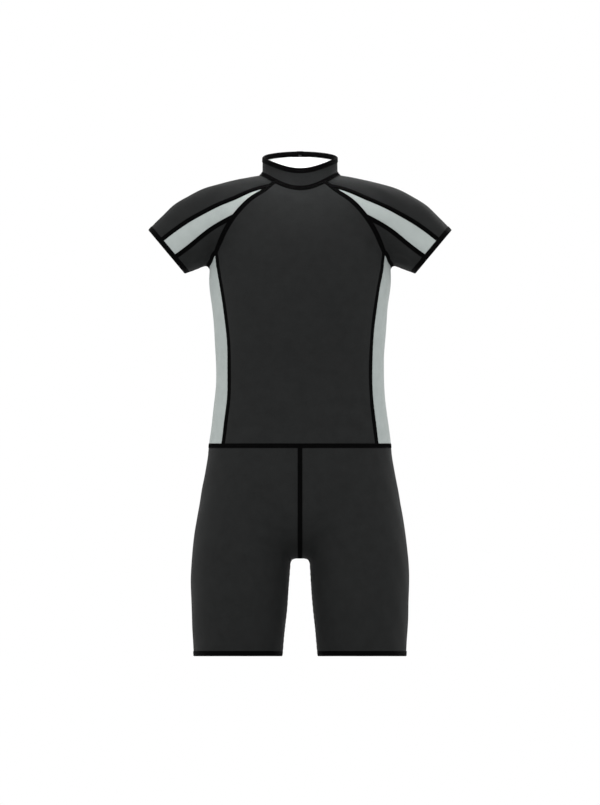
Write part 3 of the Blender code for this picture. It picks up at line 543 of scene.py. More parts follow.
class Seams:
    """Every seam of the left half, as points that the pieces on both sides share."""

    def __init__(self):
        self.collar = {k: collar_ring(COLLAR_SEAM, a) for k, a in collar_angles().items()}
        self.collar_top = {k: collar_ring(COLLAR_TOP, a) for k, a in collar_angles().items()}
        self.collar_end = self.up_the_collar()
        self.place_armhole()
        self.place_sleeve()
        self.place_body()
        self.place_legs()

    def up_the_collar(self):
        """The collar's end beside the zip, from its top down."""
        shares = eased(COLLAR_ROWS, 1)[:, None]
        top, bottom = self.collar_top["back"][-1], self.collar["back"][-1]
        return pinned(FORM.press(top * (1 - shares) + bottom * shares), top, bottom)

    def place_armhole(self):
        front_start = self.collar["front"][-1]
        back_start = self.collar["back"][0]
        below = RAGLAN_ROWS - DETAIL - STRIPE_COLUMNS
        shares = np.concatenate([
            np.linspace(0, STRIPE_START, DETAIL + 1)[:-1],
            np.linspace(STRIPE_START, STRIPE_END, STRIPE_COLUMNS + 1),
            np.linspace(STRIPE_END, 1, below + 1)[1:],
        ])
        knots = ((front_start[0], front_start[2]),) + FRONT_RAGLAN[1:]
        self.front_raglan = seam_seen(knots, -1, shares)
        self.front_raglan[0] = front_start
        knots = ((back_start[0], back_start[2]),) + BACK_RAGLAN[1:]
        self.back_raglan = seam_seen(knots, 1, eased(RAGLAN_ROWS, BACK_EASE))
        self.back_raglan[0] = back_start
        under = eased(SIDE_COLUMNS // 2, 1)
        front_end, back_end = self.front_raglan[-1], self.back_raglan[-1]
        self.under_front = seam_over((front_end, ARMPIT), under)
        self.under_front[0] = front_end
        self.under_back = seam_over((ARMPIT, back_end), under)
        self.under_back = pinned(self.under_back, self.under_front[-1], back_end)
        self.armhole = join(self.front_raglan, self.under_front, self.under_back,
                            self.back_raglan[::-1])

    def place_sleeve(self):
        upper, lower = STRIPE_HEM_ANGLES
        front_count = RAGLAN_ROWS - DETAIL - STRIPE_COLUMNS + SIDE_COLUMNS // 2
        back_count = SHOULDER_COLUMNS[1] + RAGLAN_ROWS + SIDE_COLUMNS // 2
        self.hem_top = sleeve_hem(0, upper, SHOULDER_COLUMNS[0] + DETAIL)
        self.hem_stripe = sleeve_hem(upper, lower, STRIPE_COLUMNS)
        self.hem_front = sleeve_hem(lower, 180, front_count)
        self.hem_back = sleeve_hem(0, -180, back_count)
        over = [(x, ARM_MIDDLE, z) for x, z in SLEEVE_RIDGE]
        ends = (self.collar["shoulder_back"][0], self.hem_top[0])
        self.sleeve_ridge = seam_between((ends[0], *over, ends[1]), SLEEVE_SHARES)
        start = self.front_raglan[DETAIL]
        self.stripe_upper = self.stripe_edge(STRIPE_UPPER, start, self.hem_stripe[0])
        start = self.front_raglan[DETAIL + STRIPE_COLUMNS]
        self.stripe_lower = self.stripe_edge(STRIPE_LOWER, start, self.hem_front[0])
        ends = (self.under_front[-1], self.hem_front[-1])
        self.underarm = seam_between(ends, SLEEVE_SHARES)

    def stripe_edge(self, knots, start, end):
        """An edge of the stripe, seen from the front, from the raglan seam to the hem."""
        knots = ((start[0], start[2]),) + knots + ((end[0], end[2]),)
        return pinned(seam_seen(knots, -1, SLEEVE_SHARES), start, end)

    def place_body(self):
        self.side_front = seam_seen(SIDE_SEAM, -1, SIDE_SHARES)
        self.side_back = seam_seen(SIDE_SEAM, 1, SIDE_SHARES)
        self.side_front[0] = self.front_raglan[-1]
        self.side_back[0] = self.back_raglan[-1]
        for side in (self.side_front, self.side_back):
            side[-1, 2] = WAIST_SEAM
            side[-1:] = FORM.press(side[-1:], LEVEL)
        middle_front = FORM.press_along_y([(0, WAIST_SEAM)], -1)[0]
        self.waist_front = level_run(middle_front, self.side_front[-1], WAIST_SEAM, FRONT_COLUMNS)
        self.waist_side = self.around_side(self.side_front[-1], self.side_back[-1])
        zip_edge = FORM.press_along_y([(ZIP_GAP, WAIST_SEAM)], 1)[0]
        self.waist_back = level_run(self.side_back[-1], zip_edge, WAIST_SEAM, BACK_COLUMNS)
        top, bottom = self.collar["back"][-1], self.waist_back[-1]
        fine = down_the_back(ZIP_GAP, top[2], bottom[2], BACK_POINTS)
        self.zip_edge = pinned(evenly(fine, RAGLAN_ROWS + SIDE_ROWS), top, bottom)

    def around_side(self, front, back):
        """The waist seam across the side panel, by way of its outermost point."""
        fine = FORM.press(through((front, WAIST_SIDE, back)), LEVEL)
        return pinned(FORM.press(evenly(fine, SIDE_COLUMNS), LEVEL, rounds=4), front, back)

    def place_legs(self):
        half = SIDE_COLUMNS // 2
        front_middle, back_middle = (FORM.press_along_y([(0, WAIST_SEAM)], s)[0] for s in (-1, 1))
        crotch = FORM.press([(0, CROTCH_Y, CROTCH)])[0]
        to_middle = level_run(self.side_back[-1], back_middle, WAIST_SEAM, BACK_COLUMNS + DETAIL)
        self.waist_shorts_front = join(self.waist_front, self.waist_side[:half + 1])
        self.waist_shorts_back = join(self.waist_side[half:], to_middle)
        self.centre_front = self.around_seat(front_middle, CENTRE_FRONT, crotch)
        self.centre_back = self.around_seat(back_middle, CENTRE_BACK, crotch)
        front_count = len(self.waist_shorts_front) - 1
        back_count = len(self.waist_shorts_back) - 1
        self.thigh_front = self.thigh(crotch, 180, front_count)
        self.thigh_back = self.thigh(crotch, -180, back_count)
        self.thigh_back[-1] = self.thigh_front[-1]
        hem = [float(FORM.leg[name](LEG_HEM)) for name in ("centre", "half_width", "front")]
        self.hem_leg_front = level_ring(LEG_HEM, *hem, 180, 0, front_count)
        inner_hem, outer_hem = self.hem_leg_front[0], self.hem_leg_front[-1]
        self.hem_leg_back = level_ring(LEG_HEM, *hem, -180, 0, back_count)
        self.hem_leg_back = pinned(self.hem_leg_back, inner_hem, outer_hem)
        outer_waist, outer_thigh = self.waist_side[half], self.thigh_front[-1]
        self.hip_guide = seam_between((outer_waist, HIP_SIDE, outer_thigh), eased(SEAT_ROWS, 1))
        self.leg_guide = seam_between((outer_thigh, outer_hem), eased(LEG_ROWS, 1))
        inseam = (crotch, *INSEAM, inner_hem)
        self.inseam = seam_between(inseam, eased(LEG_ROWS, INSEAM_EASE))

    def thigh(self, crotch, start, count):
        """Half a level ring round the leg at the crotch's height, from the crotch outwards."""
        ring = level_ring(crotch[2], *THIGH_RING, start, 0, RING_POINTS)
        curve = FORM.press(evenly(join([crotch], ring[THIGH_RING_SKIP:]), count))
        curve[0] = crotch
        return curve

    def around_seat(self, top, guide, crotch):
        """The centre seam from the waist, down and under to the crotch."""
        fine = through((top, *((0, y, z) for y, z in guide), crotch))
        fine[:, 0] = 0
        return pinned(evenly(FORM.press(fine, ACROSS), SEAT_ROWS), top, crotch)


SEAMS = Seams()

# Seams that each half of the garment has
HALF_SEAMS = ("armhole", "stripe_upper", "stripe_lower", "underarm", "side_front", "side_back",
              "inseam")


def seam_lines():
    """Every sewn seam of the whole garment, by name, as a path on the form."""
    waist = join(SEAMS.waist_shorts_front, SEAMS.waist_shorts_back)
    lines = {
        "collar": across_middle(join(*SEAMS.collar.values())),
        "waist": join(waist, mirrored(waist)[::-1]),
        "centre_front": SEAMS.centre_front,
        "centre_back": SEAMS.centre_back,
    }
    for name in HALF_SEAMS:
        lines[name + "_left"] = getattr(SEAMS, name)
        lines[name + "_right"] = mirrored(getattr(SEAMS, name))
    return lines


SEAM_LINES = seam_lines()

# Seams pull the cloth in a little and pucker it: depth, reach and the pucker's height and length.
# The puckers crowd and spread along the seam by the wander, once in so many turns.
SEAM_DIP = 0.5
SEAM_DIP_REACH = 5.0
PUCKER = 0.16
PUCKER_REACH = 8.0
PUCKER_LENGTH = 8.5
PUCKER_WANDER = 1.7
PUCKER_TURNS = 7.3
SEAM_SAMPLE = 1.5

# Creases as seen from the front (-1) or from behind (1) on the left half, with each one's depth
# and half width, and its path as (x, z)
CREASES = (
    (-1, 1.5, 7, ((131, -131), (118, -138), (101, -150), (84, -167))),
    (-1, 1.1, 6, ((129, -146), (114, -158), (97, -176))),
    (-1, 0.9, 6, ((127, -108), (112, -112), (96, -121))),
    (-1, 1.3, 7, ((146, -128), (160, -130), (174, -137), (184, -148))),
    (-1, 1.0, 7, ((140, -112), (157, -108), (175, -112), (192, -122))),
    (-1, 0.9, 9, ((108, -18), (126, -30), (142, -47))),
    (-1, 1.5, 8, ((10, -588), (30, -574), (54, -563), (84, -557))),
    (-1, 1.3, 8, ((9, -572), (26, -553), (48, -539), (70, -531))),
    (-1, 1.1, 9, ((8, -598), (34, -594), (62, -592), (92, -596))),
    (-1, 1.0, 10, ((104, -448), (84, -456), (60, -460), (38, -459))),
    (-1, 1.1, 10, ((109, -412), (88, -404), (62, -402), (40, -406))),
    (-1, 0.8, 12, ((112, -372), (92, -366), (68, -366))),
    (-1, 0.9, 12, ((128, -640), (110, -646), (86, -645), (66, -638))),
    (1, 1.6, 8, ((131, -130), (117, -141), (100, -157), (86, -176))),
    (1, 1.1, 7, ((129, -148), (113, -166), (101, -188))),
    (1, 1.2, 8, ((147, -127), (162, -130), (177, -138), (186, -148))),
    (1, 1.0, 8, ((142, -108), (160, -104), (178, -108), (194, -120))),
    (1, 1.6, 9, ((110, -322), (86, -330), (58, -331), (30, -326))),
    (1, 1.4, 9, ((112, -352), (88, -361), (60, -363), (28, -358))),
    (1, 1.1, 9, ((114, -294), (94, -300), (68, -301))),
    (1, 1.2, 10, ((116, -392), (96, -400), (70, -402), (44, -398))),
    (1, 1.7, 8, ((12, -590), (34, -600), (62, -604), (94, -599), (120, -589))),
    (1, 1.2, 9, ((18, -614), (42, -622), (70, -624), (98, -618))),
    (1, 1.1, 9, ((10, -560), (26, -570), (48, -577))),
    (1, 0.9, 12, ((130, -660), (108, -668), (84, -668), (62, -660))),
)

# How far apart a crease's points lie, how far its deepest place is off its middle, as a power,
# and how much and how often its depth wanders
CREASE_STEP = 3.0
CREASE_SKEW = 0.8
CREASE_WANDER = 0.25
CREASE_TURNS = 9

# The cloth's rise beside a crease, as a share of the crease's depth, and in its half widths how
# far off the rise is, how wide it is, and how far out the crease is felt
CREST = 0.45
CREST_AT = 2.0
CREST_WIDTH = 0.9
CREASE_REACH = 3.5

# The right half's creases aren't the left's exactly: the share of their depth, and how far they
# are moved up and outwards
RIGHT_DEPTH = 0.8
RIGHT_RISE = 5.0
RIGHT_SHIFT = 3.0

# Broad unevenness of cloth over a body: its height, its lengths along x, y and z, where it
# starts, and the share of its slanted part
SWELL = 0.35
SWELL_LENGTHS = (61, 47, 83)
SWELL_START = 1.1
SWELL_SLANT = 0.6


class Relief:
    """How far the worn cloth lies off the smooth form: seam dips, puckers, creases and swells."""

    def __init__(self):
        samples = [every(path, SEAM_SAMPLE) for path in SEAM_LINES.values()]
        self.along = np.concatenate([lengths_along(path) for path in samples])
        samples = np.concatenate(samples)
        self.tree = kdtree.KDTree(len(samples))
        for i, point in enumerate(samples):
            self.tree.insert(point, i)
        self.tree.balance()
        self.creases = [self.crease(*row, side) for row in CREASES for side in (1, -1)]

    def crease(self, face, depth, width, knots, side):
        """A crease's path on the form. It is deepest a little off its middle and fades out."""
        knots = np.array(knots, float)
        if side < 0:
            depth *= RIGHT_DEPTH
            knots = (knots + (RIGHT_SHIFT, RIGHT_RISE)) * (-1, 1)
        path = every(FORM.press_along_y(through(knots), face), CREASE_STEP)
        share = np.linspace(0, 1, len(path))
        wander = 1 + CREASE_WANDER * np.sin(CREASE_TURNS * share + knots[0, 1])
        return path, depth * np.sin(np.pi * share ** CREASE_SKEW) * wander, width

    def seam_lift(self, points):
        lift = np.zeros(len(points))
        for i, point in enumerate(points):
            _, index, far = self.tree.find(point)
            if far > 3 * PUCKER_REACH:
                continue
            turn = 2 * math.pi * self.along[index] / PUCKER_LENGTH
            wave = math.sin(turn + PUCKER_WANDER * math.sin(turn / PUCKER_TURNS))
            lift[i] = (PUCKER * wave * math.exp(-(far / PUCKER_REACH) ** 2)
                       - SEAM_DIP * math.exp(-(far / SEAM_DIP_REACH) ** 2))
        return lift

    def crease_lift(self, points):
        lift = np.zeros(len(points))
        for path, depths, width in self.creases:
            reach = CREASE_REACH * width
            near = ((points > path.min(0) - reach) & (points < path.max(0) + reach)).all(1)
            if not near.any():
                continue
            apart = np.linalg.norm(points[near][:, None] - path[None], axis=2)
            index = apart.argmin(1)
            far = apart.min(1) / width
            crest = CREST * np.exp(-((far - CREST_AT) / CREST_WIDTH) ** 2)
            lift[near] += depths[index] * (crest - np.exp(-far ** 2))
        return lift

    def __call__(self, points):
        turns = 2 * np.pi * points / SWELL_LENGTHS
        swell = np.sin(turns[:, 0] + SWELL_START) * np.sin(turns[:, 2])
        swell = swell + SWELL_SLANT * np.sin(turns.sum(1))
        return self.seam_lift(points) + self.crease_lift(points) + SWELL * swell


RELIEF = Relief()


def patch(top, bottom, start, end):
    """A grid of points between four seams, rows running from top to bottom."""
    rows, columns = len(start), len(top)
    down = np.linspace(0, 1, rows)[:, None, None]
    across = np.linspace(0, 1, columns)[None, :, None]
    top, bottom = top[None, :, :], bottom[None, :, :]
    start, end = start[:, None, :], end[:, None, :]
    corners = ((1 - down) * ((1 - across) * top[:, :1] + across * top[:, -1:])
               + down * ((1 - across) * bottom[:, :1] + across * bottom[:, -1:]))
    grid = (1 - down) * top + down * bottom + (1 - across) * start + across * end - corners
    inner = grid[1:-1, 1:-1]
    grid[1:-1, 1:-1] = FORM.press(inner.reshape(-1, 3), rounds=6).reshape(inner.shape)
    return grid


def grid_faces(grid, ids):
    """A grid's cells as faces of point numbers, facing out."""
    rows, columns, _ = grid.shape
    middle = grid[rows // 2, columns // 2]
    down = grid[rows // 2 - 1, columns // 2] - middle
    across = grid[rows // 2, columns // 2 - 1] - middle
    cells = np.stack([ids[:-1, :-1], ids[1:, :-1], ids[1:, 1:], ids[:-1, 1:]], axis=2)
    cells = cells.reshape(-1, 4)
    if FORM.normals(middle[None])[0] @ np.cross(down, across) <= 0:
        cells = cells[:, ::-1]
    return cells


def grid_places(grid):
    """Each point's place on the flat cloth: across from the middle column, and down.

    Each row is drawn halfway to level, so that the knit's courses run across.
    """
    rows, columns, _ = grid.shape
    across = np.zeros((rows, columns))
    across[:, 1:] = np.cumsum(np.linalg.norm(np.diff(grid, axis=1), axis=2), axis=1)
    across -= across[:, columns // 2][:, None]
    down = np.zeros((rows, columns))
    down[1:] = np.cumsum(np.linalg.norm(np.diff(grid, axis=0), axis=2), axis=0)
    down[:] = down.mean(1)[:, None] * 0.5 + down * 0.5
    return np.stack([across, down], axis=2)


def weld(grids):
    """Grids that share edges as one list of points, faces and places on the flat cloth."""
    points = np.concatenate([grid.reshape(-1, 3) for grid in grids])
    places = np.concatenate([grid_places(grid).reshape(-1, 2) for grid in grids])
    _, first, ids = np.unique(np.round(points, 2), axis=0, return_index=True, return_inverse=True)
    ends = np.cumsum([grid.shape[0] * grid.shape[1] for grid in grids])
    faces = [grid_faces(grid, part.reshape(grid.shape[:2]))
             for grid, part in zip(grids, np.split(ids.reshape(-1), ends[:-1]))]
    return points[first], np.concatenate(faces), places[first]


def border_edges(faces):
    """Edges with a face on one side only, in the direction their face runs."""
    ahead = np.stack([faces, np.roll(faces, -1, axis=1)], axis=2).reshape(-1, 2)
    edges = {(a, b) for a, b in ahead.tolist() if a != b}
    return [(a, b) for a, b in edges if (b, a) not in edges]


def without_doubles(face):
    """A face with a corner that it has twice in a row kept once."""
    return [v for i, v in enumerate(face) if v != face[i - 1]]


def make_mesh(name, points, faces, places, material, sharp_angle=40):
    mesh = bpy.data.meshes.new(name)
    mesh.from_pydata((np.asarray(points) * MM).tolist(), [], faces)
    mesh.shade_smooth()
    mesh.set_sharp_from_angle(angle=math.radians(sharp_angle))
    mesh.materials.append(material)
    corners = np.empty(len(mesh.loops), int)
    mesh.loops.foreach_get("vertex_index", corners)
    layer = mesh.uv_layers.new(name="cloth")
    layer.uv.foreach_set("vector", (np.asarray(places)[corners] * MM).astype(np.float32).ravel())
    item = bpy.data.objects.new(name, mesh)
    bpy.context.scene.collection.objects.link(item)
    return item


def cloth(name, node, grids, material, lining=None):
    """A knit panel on the form that stands for its solid, its reverse in the lining if given."""
    points, faces, places = weld(grids)
    normals = FORM.normals(points)
    outer = points + normals * RELIEF(points)[:, None]
    inner = outer - normals * WALL
    count = len(points)
    shell = [without_doubles(face) for face in faces.tolist()]
    shell = [face for face in shell if len(face) > 2]
    whole = len(shell)
    shell += [[v + count for v in face[::-1]] for face in shell]
    shell += [[b, a, a + count, b + count] for a, b in border_edges(faces)]
    item = make_mesh(name, np.concatenate([outer, inner]), shell, np.tile(places, (2, 1)), material)
    if lining:
        item.data.materials.append(lining)
        slots = np.zeros(len(shell), np.int32)
        slots[whole:2 * whole] = 1
        item.data.polygons.foreach_set("material_index", slots)
    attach(item, BODY)
    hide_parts(node)
    return item


def unit(vectors):
    return vectors / np.maximum(np.linalg.norm(vectors, axis=-1, keepdims=True), 1e-9)


def on_cloth(path, across, up, ring=False):
    """Points beside each point of a path, that far to its left on the cloth and that far up."""
    if ring:
        along = np.roll(path, -1, axis=0) - np.roll(path, 1, axis=0)
    else:
        along = np.gradient(path, axis=0)
    side = unit(np.cross(FORM.normals(path), unit(along)))
    across, up = np.atleast_2d(across), np.atleast_2d(up)
    places = path[:, None] + side[:, None] * across[:, :, None]
    base = FORM.press(places.reshape(-1, 3), rounds=2)
    normals = FORM.normals(base)
    lift = RELIEF(base) + np.broadcast_to(up, places.shape[:2]).ravel()
    shape = places.shape
    return (base + normals * lift[:, None]).reshape(shape), normals.reshape(shape)


def loft(points, ring=False):
    """Faces of a closed profile carried along a path, its two ends capped unless it is a ring."""
    rows, columns = points.shape[:2]
    ids = np.arange(rows * columns).reshape(rows, columns)
    if ring:
        ids = np.concatenate([ids, ids[:1]])
    near, far = ids[:-1], ids[1:]
    faces = np.stack([near, np.roll(near, -1, axis=1), np.roll(far, -1, axis=1), far], axis=2)
    faces = faces.reshape(-1, 4).tolist()
    if not ring:
        faces += [ids[0][::-1].tolist(), ids[-1].tolist()]
    return faces


def strip(half, top, bottom):
    """The profile of a flat strip that can follow a curve, in (across, up)."""
    across = [half * share for share in (-1, -0.5, 0, 0.5, 1)]
    return [(-half, bottom)] + [(x, top) for x in across] + [(x, bottom) for x in across[:0:-1]]


def folded(upper, middle=()):
    """A profile folded over the cloth's edge, in (in from the edge, up), alike above and below.

    The middle is a point that only the upper side has. The cloth lies between 0 and -WALL.
    """
    lower = [(x, -WALL - up) for x, up in upper[::-1] if (x, up) != middle]
    return list(upper) + lower


# Flat seams: a band of thread over each seam, in (across, up), and how far apart its points lie
BAND_HALF = 3.9
BAND_TOP = 0.55
BAND_PROFILE = (
    (-BAND_HALF, -0.2), (-BAND_HALF + 0.25, 0.35), (-BAND_HALF + 0.8, BAND_TOP),
    (0, BAND_TOP - 0.08),
    (BAND_HALF - 0.8, BAND_TOP), (BAND_HALF - 0.25, 0.35), (BAND_HALF, -0.2), (0, -0.6),
)
BAND_STEP = 2.4

# Seams that run out to a hem end under its binding, this far from the edge
HEM_SEAMS = ("stripe_upper", "stripe_lower", "underarm", "inseam")
SEAM_STOP = 3.2

# Binding folded over an open edge
BINDING = 7.8
BINDING_RISE = 0.7
BINDING_CROWN = (BINDING / 2, BINDING_RISE + 0.1)
BINDING_PROFILE = folded((
    (BINDING, -0.2), (BINDING - 0.3, 0.4), (BINDING - 0.9, BINDING_RISE), BINDING_CROWN,
    (0.6, BINDING_RISE), (-0.2, 0.35), (-0.75, -0.3),
), BINDING_CROWN)
BINDING_STEP = 2.6

# A fold of tape over the collar's edge closes the top of the zip, and a facing lies behind it
FOLD_HALF = 5.2
FOLD = 4.9
FOLD_RISE = 1.15
FOLD_PROFILE = folded((
    (FOLD, 0.0), (FOLD - 0.2, FOLD_RISE - 0.3), (FOLD - 0.7, FOLD_RISE), (0.4, FOLD_RISE),
    (-0.8, 0.7), (-1.2, -0.3),
))
FOLD_POINTS = 9
FACING_HALF = 17.0
FACING_PROFILE = strip(FACING_HALF, -2.9, -3.4)
FACING_TOP_GAP = 0.2
FACING_BOTTOM = 4.5
FACING_POINTS = 15

# Zip: the tape behind the edges, the teeth between them, and the stitching beside them. A tooth
# is a waisted bar: how far out, half how long and half how high it is at each of its stations.
TAPE_PROFILE = strip(ZIP_TAPE, -1.8, -2.6)
TOOTH_PITCH = 2.0
TOOTH_RISE = -0.6
TOOTH_SIDES = 6
TOOTH = (
    (-2.35, 0.34, 0.85),
    (-0.7, 0.38, 0.95),
    (0.25, 0.62, 1.1),
    (0.85, 0.36, 0.8),
)
ZIP_TOP = 7.5
ZIP_BOTTOM = 1.5
ZIP_STEP = 3.0
ZIP_STITCHING = (1.6, 5.6)

# Stitches lie along a thread: one stitch's length, and its points as (share of the length, how
# far across, how far up, radius). A plain one dips under at its start.
PLAIN = (2.6, ((0, 0, -0.22, 0.1), (0.16, 0, 0.1, 0.2), (0.5, 0, 0.16, 0.22), (0.84, 0, 0.1, 0.2)))
ZIGZAG = (2.6, ((0, -2.6, -0.02, 0.2), (0.25, 0, 0.12, 0.2), (0.5, 2.6, -0.02, 0.2),
                (0.75, 0, 0.12, 0.2)))
THREAD_SIDES = 4
BAND_INSET = 0.7
BINDING_INSET = 1.6


def ribbon(path, profile, ring=False):
    """A closed profile carried along a path on the cloth, as points, faces and flat places."""
    across, up = np.array(profile, float).T
    points, _ = on_cloth(path, across, up, ring)
    faces = loft(points, ring)
    along = lengths_along(path)
    places = np.stack(np.broadcast_arrays(across[None, :], along[:, None]), axis=2)
    return points.reshape(-1, 3), faces, places.reshape(-1, 2)


def thread(path, across, up, radii):
    """A thin round thread along a path, its points that far across and up from it."""
    points, normals = on_cloth(path, across[:, None], up[:, None])
    points, normals = points[:, 0], normals[:, 0]
    along = unit(np.gradient(points, axis=0))
    side = np.cross(along, normals)
    turns = 2 * np.pi * np.arange(THREAD_SIDES) / THREAD_SIDES
    out = (np.cos(turns)[None, :, None] * normals[:, None]
           + np.sin(turns)[None, :, None] * side[:, None])
    rings = points[:, None] + out * radii[:, None, None]
    places = np.stack(np.broadcast_arrays(turns[None, :], lengths_along(path)[:, None]), axis=2)
    return rings.reshape(-1, 3), loft(rings), places.reshape(-1, 2)


def stitches(path, across, up, kind=PLAIN):
    """A row of stitches, a fixed distance to one side of a path."""
    length, points = kind
    shares, aside, rises, radii = np.array(points, float).T
    count = max(1, round(lengths_along(path)[-1] / length))
    path = spaced(path, (np.arange(count)[:, None] + shares).ravel() / count)
    aside, rises, radii = (np.tile(values, count) for values in (aside, rises, radii))
    return thread(path, across + aside, up + rises, radii)


def gather(parts):
    """Several sets of points, faces and flat places as one."""
    faces = []
    start = 0
    for points, part_faces, _ in parts:
        faces += [[v + start for v in face] for face in part_faces]
        start += len(points)
    return np.concatenate([part[0] for part in parts]), faces, np.concatenate([p[2] for p in parts])


def trim(name, parts, material, body=BODY):
    """A piece that lies on the panels."""
    item = make_mesh(name, *gather(parts), material, sharp_angle=60)
    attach(item, body)
    return item


def colour(levels, scale=1.0):
    """Scaled sRGB levels, 0 to 255, as the linear colour that a shader takes."""
    shares = [level * scale / 255 for level in levels]
    return [s / 12.92 if s <= 0.04045 else ((s + 0.055) / 1.055) ** 2.4 for s in shares] + [1.0]


class Shader:
    """A material built from nodes, with short calls for the few kinds that it needs."""

    def __init__(self, name, roughness, specular=0.5, **others):
        self.material = bpy.data.materials.new(name)
        self.material.use_nodes = True
        self.tree = self.material.node_tree
        self.surface = self.tree.nodes["Principled BSDF"].inputs
        self.fill(self.surface, {"Roughness": roughness, "Specular IOR Level": specular})
        self.fill(self.surface, others)

    def fill(self, sockets, values):
        """Links each socket to an output or sets its value."""
        for key, value in values.items():
            if hasattr(value, "is_output"):
                self.tree.links.new(value, sockets[key])
            else:
                sockets[key].default_value = value

    def add(self, kind, values, **settings):
        node = self.tree.nodes.new("ShaderNode" + kind)
        for name, value in settings.items():
            setattr(node, name, value)
        self.fill(node.inputs, values)
        return node

    def math(self, operation, *values):
        return self.add("Math", dict(enumerate(values)), operation=operation).outputs[0]

    def flat_place(self):
        """Metres across and along the flat cloth."""
        place = self.add("UVMap", {}, uv_map="cloth").outputs[0]
        return self.add("SeparateXYZ", {0: place}).outputs[:2]

    def noise(self, scale, detail, low=0.0, high=1.0):
        """Soft noise in space, spread over a range. The scale is in bumps a metre."""
        where = self.add("TexCoord", {}).outputs["Object"]
        bumps = self.add("TexNoise", {"Vector": where, "Scale": scale, "Detail": detail})
        spread = {"From Min": 0.3, "From Max": 0.7, "To Min": low, "To Max": high}
        return self.add("MapRange", {"Value": bumps.outputs[0], **spread}).outputs[0]

    def mix(self, share, first, second):
        node = self.add("Mix", {}, data_type="RGBA")
        sockets = {socket.identifier: socket for socket in (*node.inputs, *node.outputs)}
        self.fill(sockets, {"Factor_Float": share, "A_Color": first, "B_Color": second})
        return sockets["Result_Color"]

    def finish(self, levels, tone, low, high, height, depth):
        """Colours the surface between two shares of its levels, and embosses it, in metres."""
        normal = self.add("Bump", {"Strength": 1.0, "Distance": depth, "Height": height})
        paint = self.mix(tone, colour(levels, low), colour(levels, high))
        self.fill(self.surface, {"Base Color": paint, "Normal": normal.outputs[0]})
        return self.material


# The distances between a knit's wales and courses, a thread's twists and a tape's ribs, in
# metres, and how deep each surface is
WALE = 0.0010
COURSE = 0.0008
TWIST = 0.0008
RIB = 0.0009
KNIT_DEPTH = 0.00012
TWIST_DEPTH = 0.00008
RIB_DEPTH = 0.0001
WEAR_DEPTH = 0.00002


def knit(name, levels, roughness, specular, sheen, contrast=0.3):
    """Plain stretch knit: columns of small V-shaped loops, with painted shade in the grooves between
    them, and a little uneven in tone.
    """
    others = {"Sheen Weight": sheen, "Sheen Roughness": 0.5}
    shader = Shader(name, roughness, specular, **others)
    across, along = shader.flat_place()
    wale = shader.math("DIVIDE", across, WALE)
    ridge = shader.math("ABSOLUTE", shader.math("SINE", shader.math("MULTIPLY", wale, math.pi)))
    slant = shader.math("ABSOLUTE", shader.math("SUBTRACT", shader.math("FRACT", wale), 0.5))
    course = shader.math("ADD", shader.math("DIVIDE", along, COURSE), slant)
    loop = shader.math("SINE", shader.math("MULTIPLY", course, 2 * math.pi))
    height = shader.math("MULTIPLY", ridge, shader.math("MULTIPLY_ADD", loop, 0.3, 0.7))
    # The colour follows the loops' height: painted shade darkens the grooves between wales and
    # loops, and two noises make the tone uneven at random.
    tone = shader.math("MULTIPLY", height, shader.noise(60, 3.0, 0.75, 1.25))
    tone = shader.math("ADD", tone, shader.noise(900, 1.0, -0.15, 0.15))
    return shader.finish(levels, tone, 1 - contrast, 1 + contrast * 0.5, height, KNIT_DEPTH)


def thread_cloth(name, levels, roughness):
    """Matt thread, twisted along its length, with painted shade in the grooves of its twist."""
    shader = Shader(name, roughness, 0.04)
    turn = shader.math("MULTIPLY", shader.flat_place()[1], 2 * math.pi / TWIST)
    rib = shader.math("MULTIPLY_ADD", shader.math("SINE", turn), 0.5, 0.5)
    # The colour follows the twist's height: painted shade darkens its grooves, and noise makes the
    # tone uneven at random.
    tone = shader.math("MULTIPLY", rib, shader.noise(700, 2.0, 0.6, 1.2))
    return shader.finish(levels, tone, 0.6, 1, rib, TWIST_DEPTH)


def twill(name, levels, roughness):
    """Woven tape with a fine slanted rib, with painted shade in the grooves between ribs."""
    shader = Shader(name, roughness, 0.3)
    slant = shader.math("DIVIDE", shader.math("ADD", *shader.flat_place()), RIB)
    rib = shader.math("ABSOLUTE", shader.math("SINE", shader.math("MULTIPLY", slant, math.pi)))
    # The colour follows the rib's height: painted shade darkens the grooves between ribs, and noise
    # makes the tone uneven at random.
    tone = shader.math("MULTIPLY", rib, shader.noise(400, 2.0, 0.7, 1.2))
    return shader.finish(levels, tone, 0.55, 1, rib, RIB_DEPTH)


def moulded(name, levels, roughness, metallic=0.0):
    """Smooth hard parts: plastic or painted metal with faint wear."""
    shader = Shader(name, roughness, Metallic=metallic)
    rough = shader.math("MULTIPLY_ADD", shader.noise(220, 3.0, -1.0, 1.0), 0.08, roughness)
    shader.fill(shader.surface, {"Roughness": rough})
    wear = shader.noise(500, 4.0)
    return shader.finish(levels, wear, 1, 1.25, wear, WEAR_DEPTH)


DARK = knit("knit_dark", (32, 33, 33), 0.75, 0.08, 0.02)
GREY = knit("knit_grey", (163, 170, 168), 0.75, 0.2, 0.02, contrast=0.12)
WHITE = knit("knit_lining", (252, 253, 253), 0.8, 0.2, 0.0, contrast=0.03)
BAND = thread_cloth("seam_black", (2, 2, 2), 0.8)
THREAD = thread_cloth("thread_black", (8, 8, 9), 0.6)
TAPE = twill("zip_tape_black", (18, 18, 19), 0.75)
TEETH = moulded("zip_teeth_black", (26, 26, 28), 0.4)
METAL = moulded("slider_dark", (60, 61, 63), 0.32, metallic=1.0)


def flat_seam(name, path, ring=False):
    """A seam's band and its threads."""
    if name.rsplit("_", 1)[0] in HEM_SEAMS:
        path = shortened(path, SEAM_STOP)
    path = every(path, BAND_STEP)
    band_path = path[:-1] if ring else path
    trim("band_" + name, [ribbon(band_path, BAND_PROFILE, ring)], BAND)
    rows = [stitches(path, side * (BAND_HALF - BAND_INSET), BAND_TOP) for side in (-1, 1)]
    trim("stitches_" + name, rows + [stitches(path, 0, BAND_TOP, ZIGZAG)], THREAD)


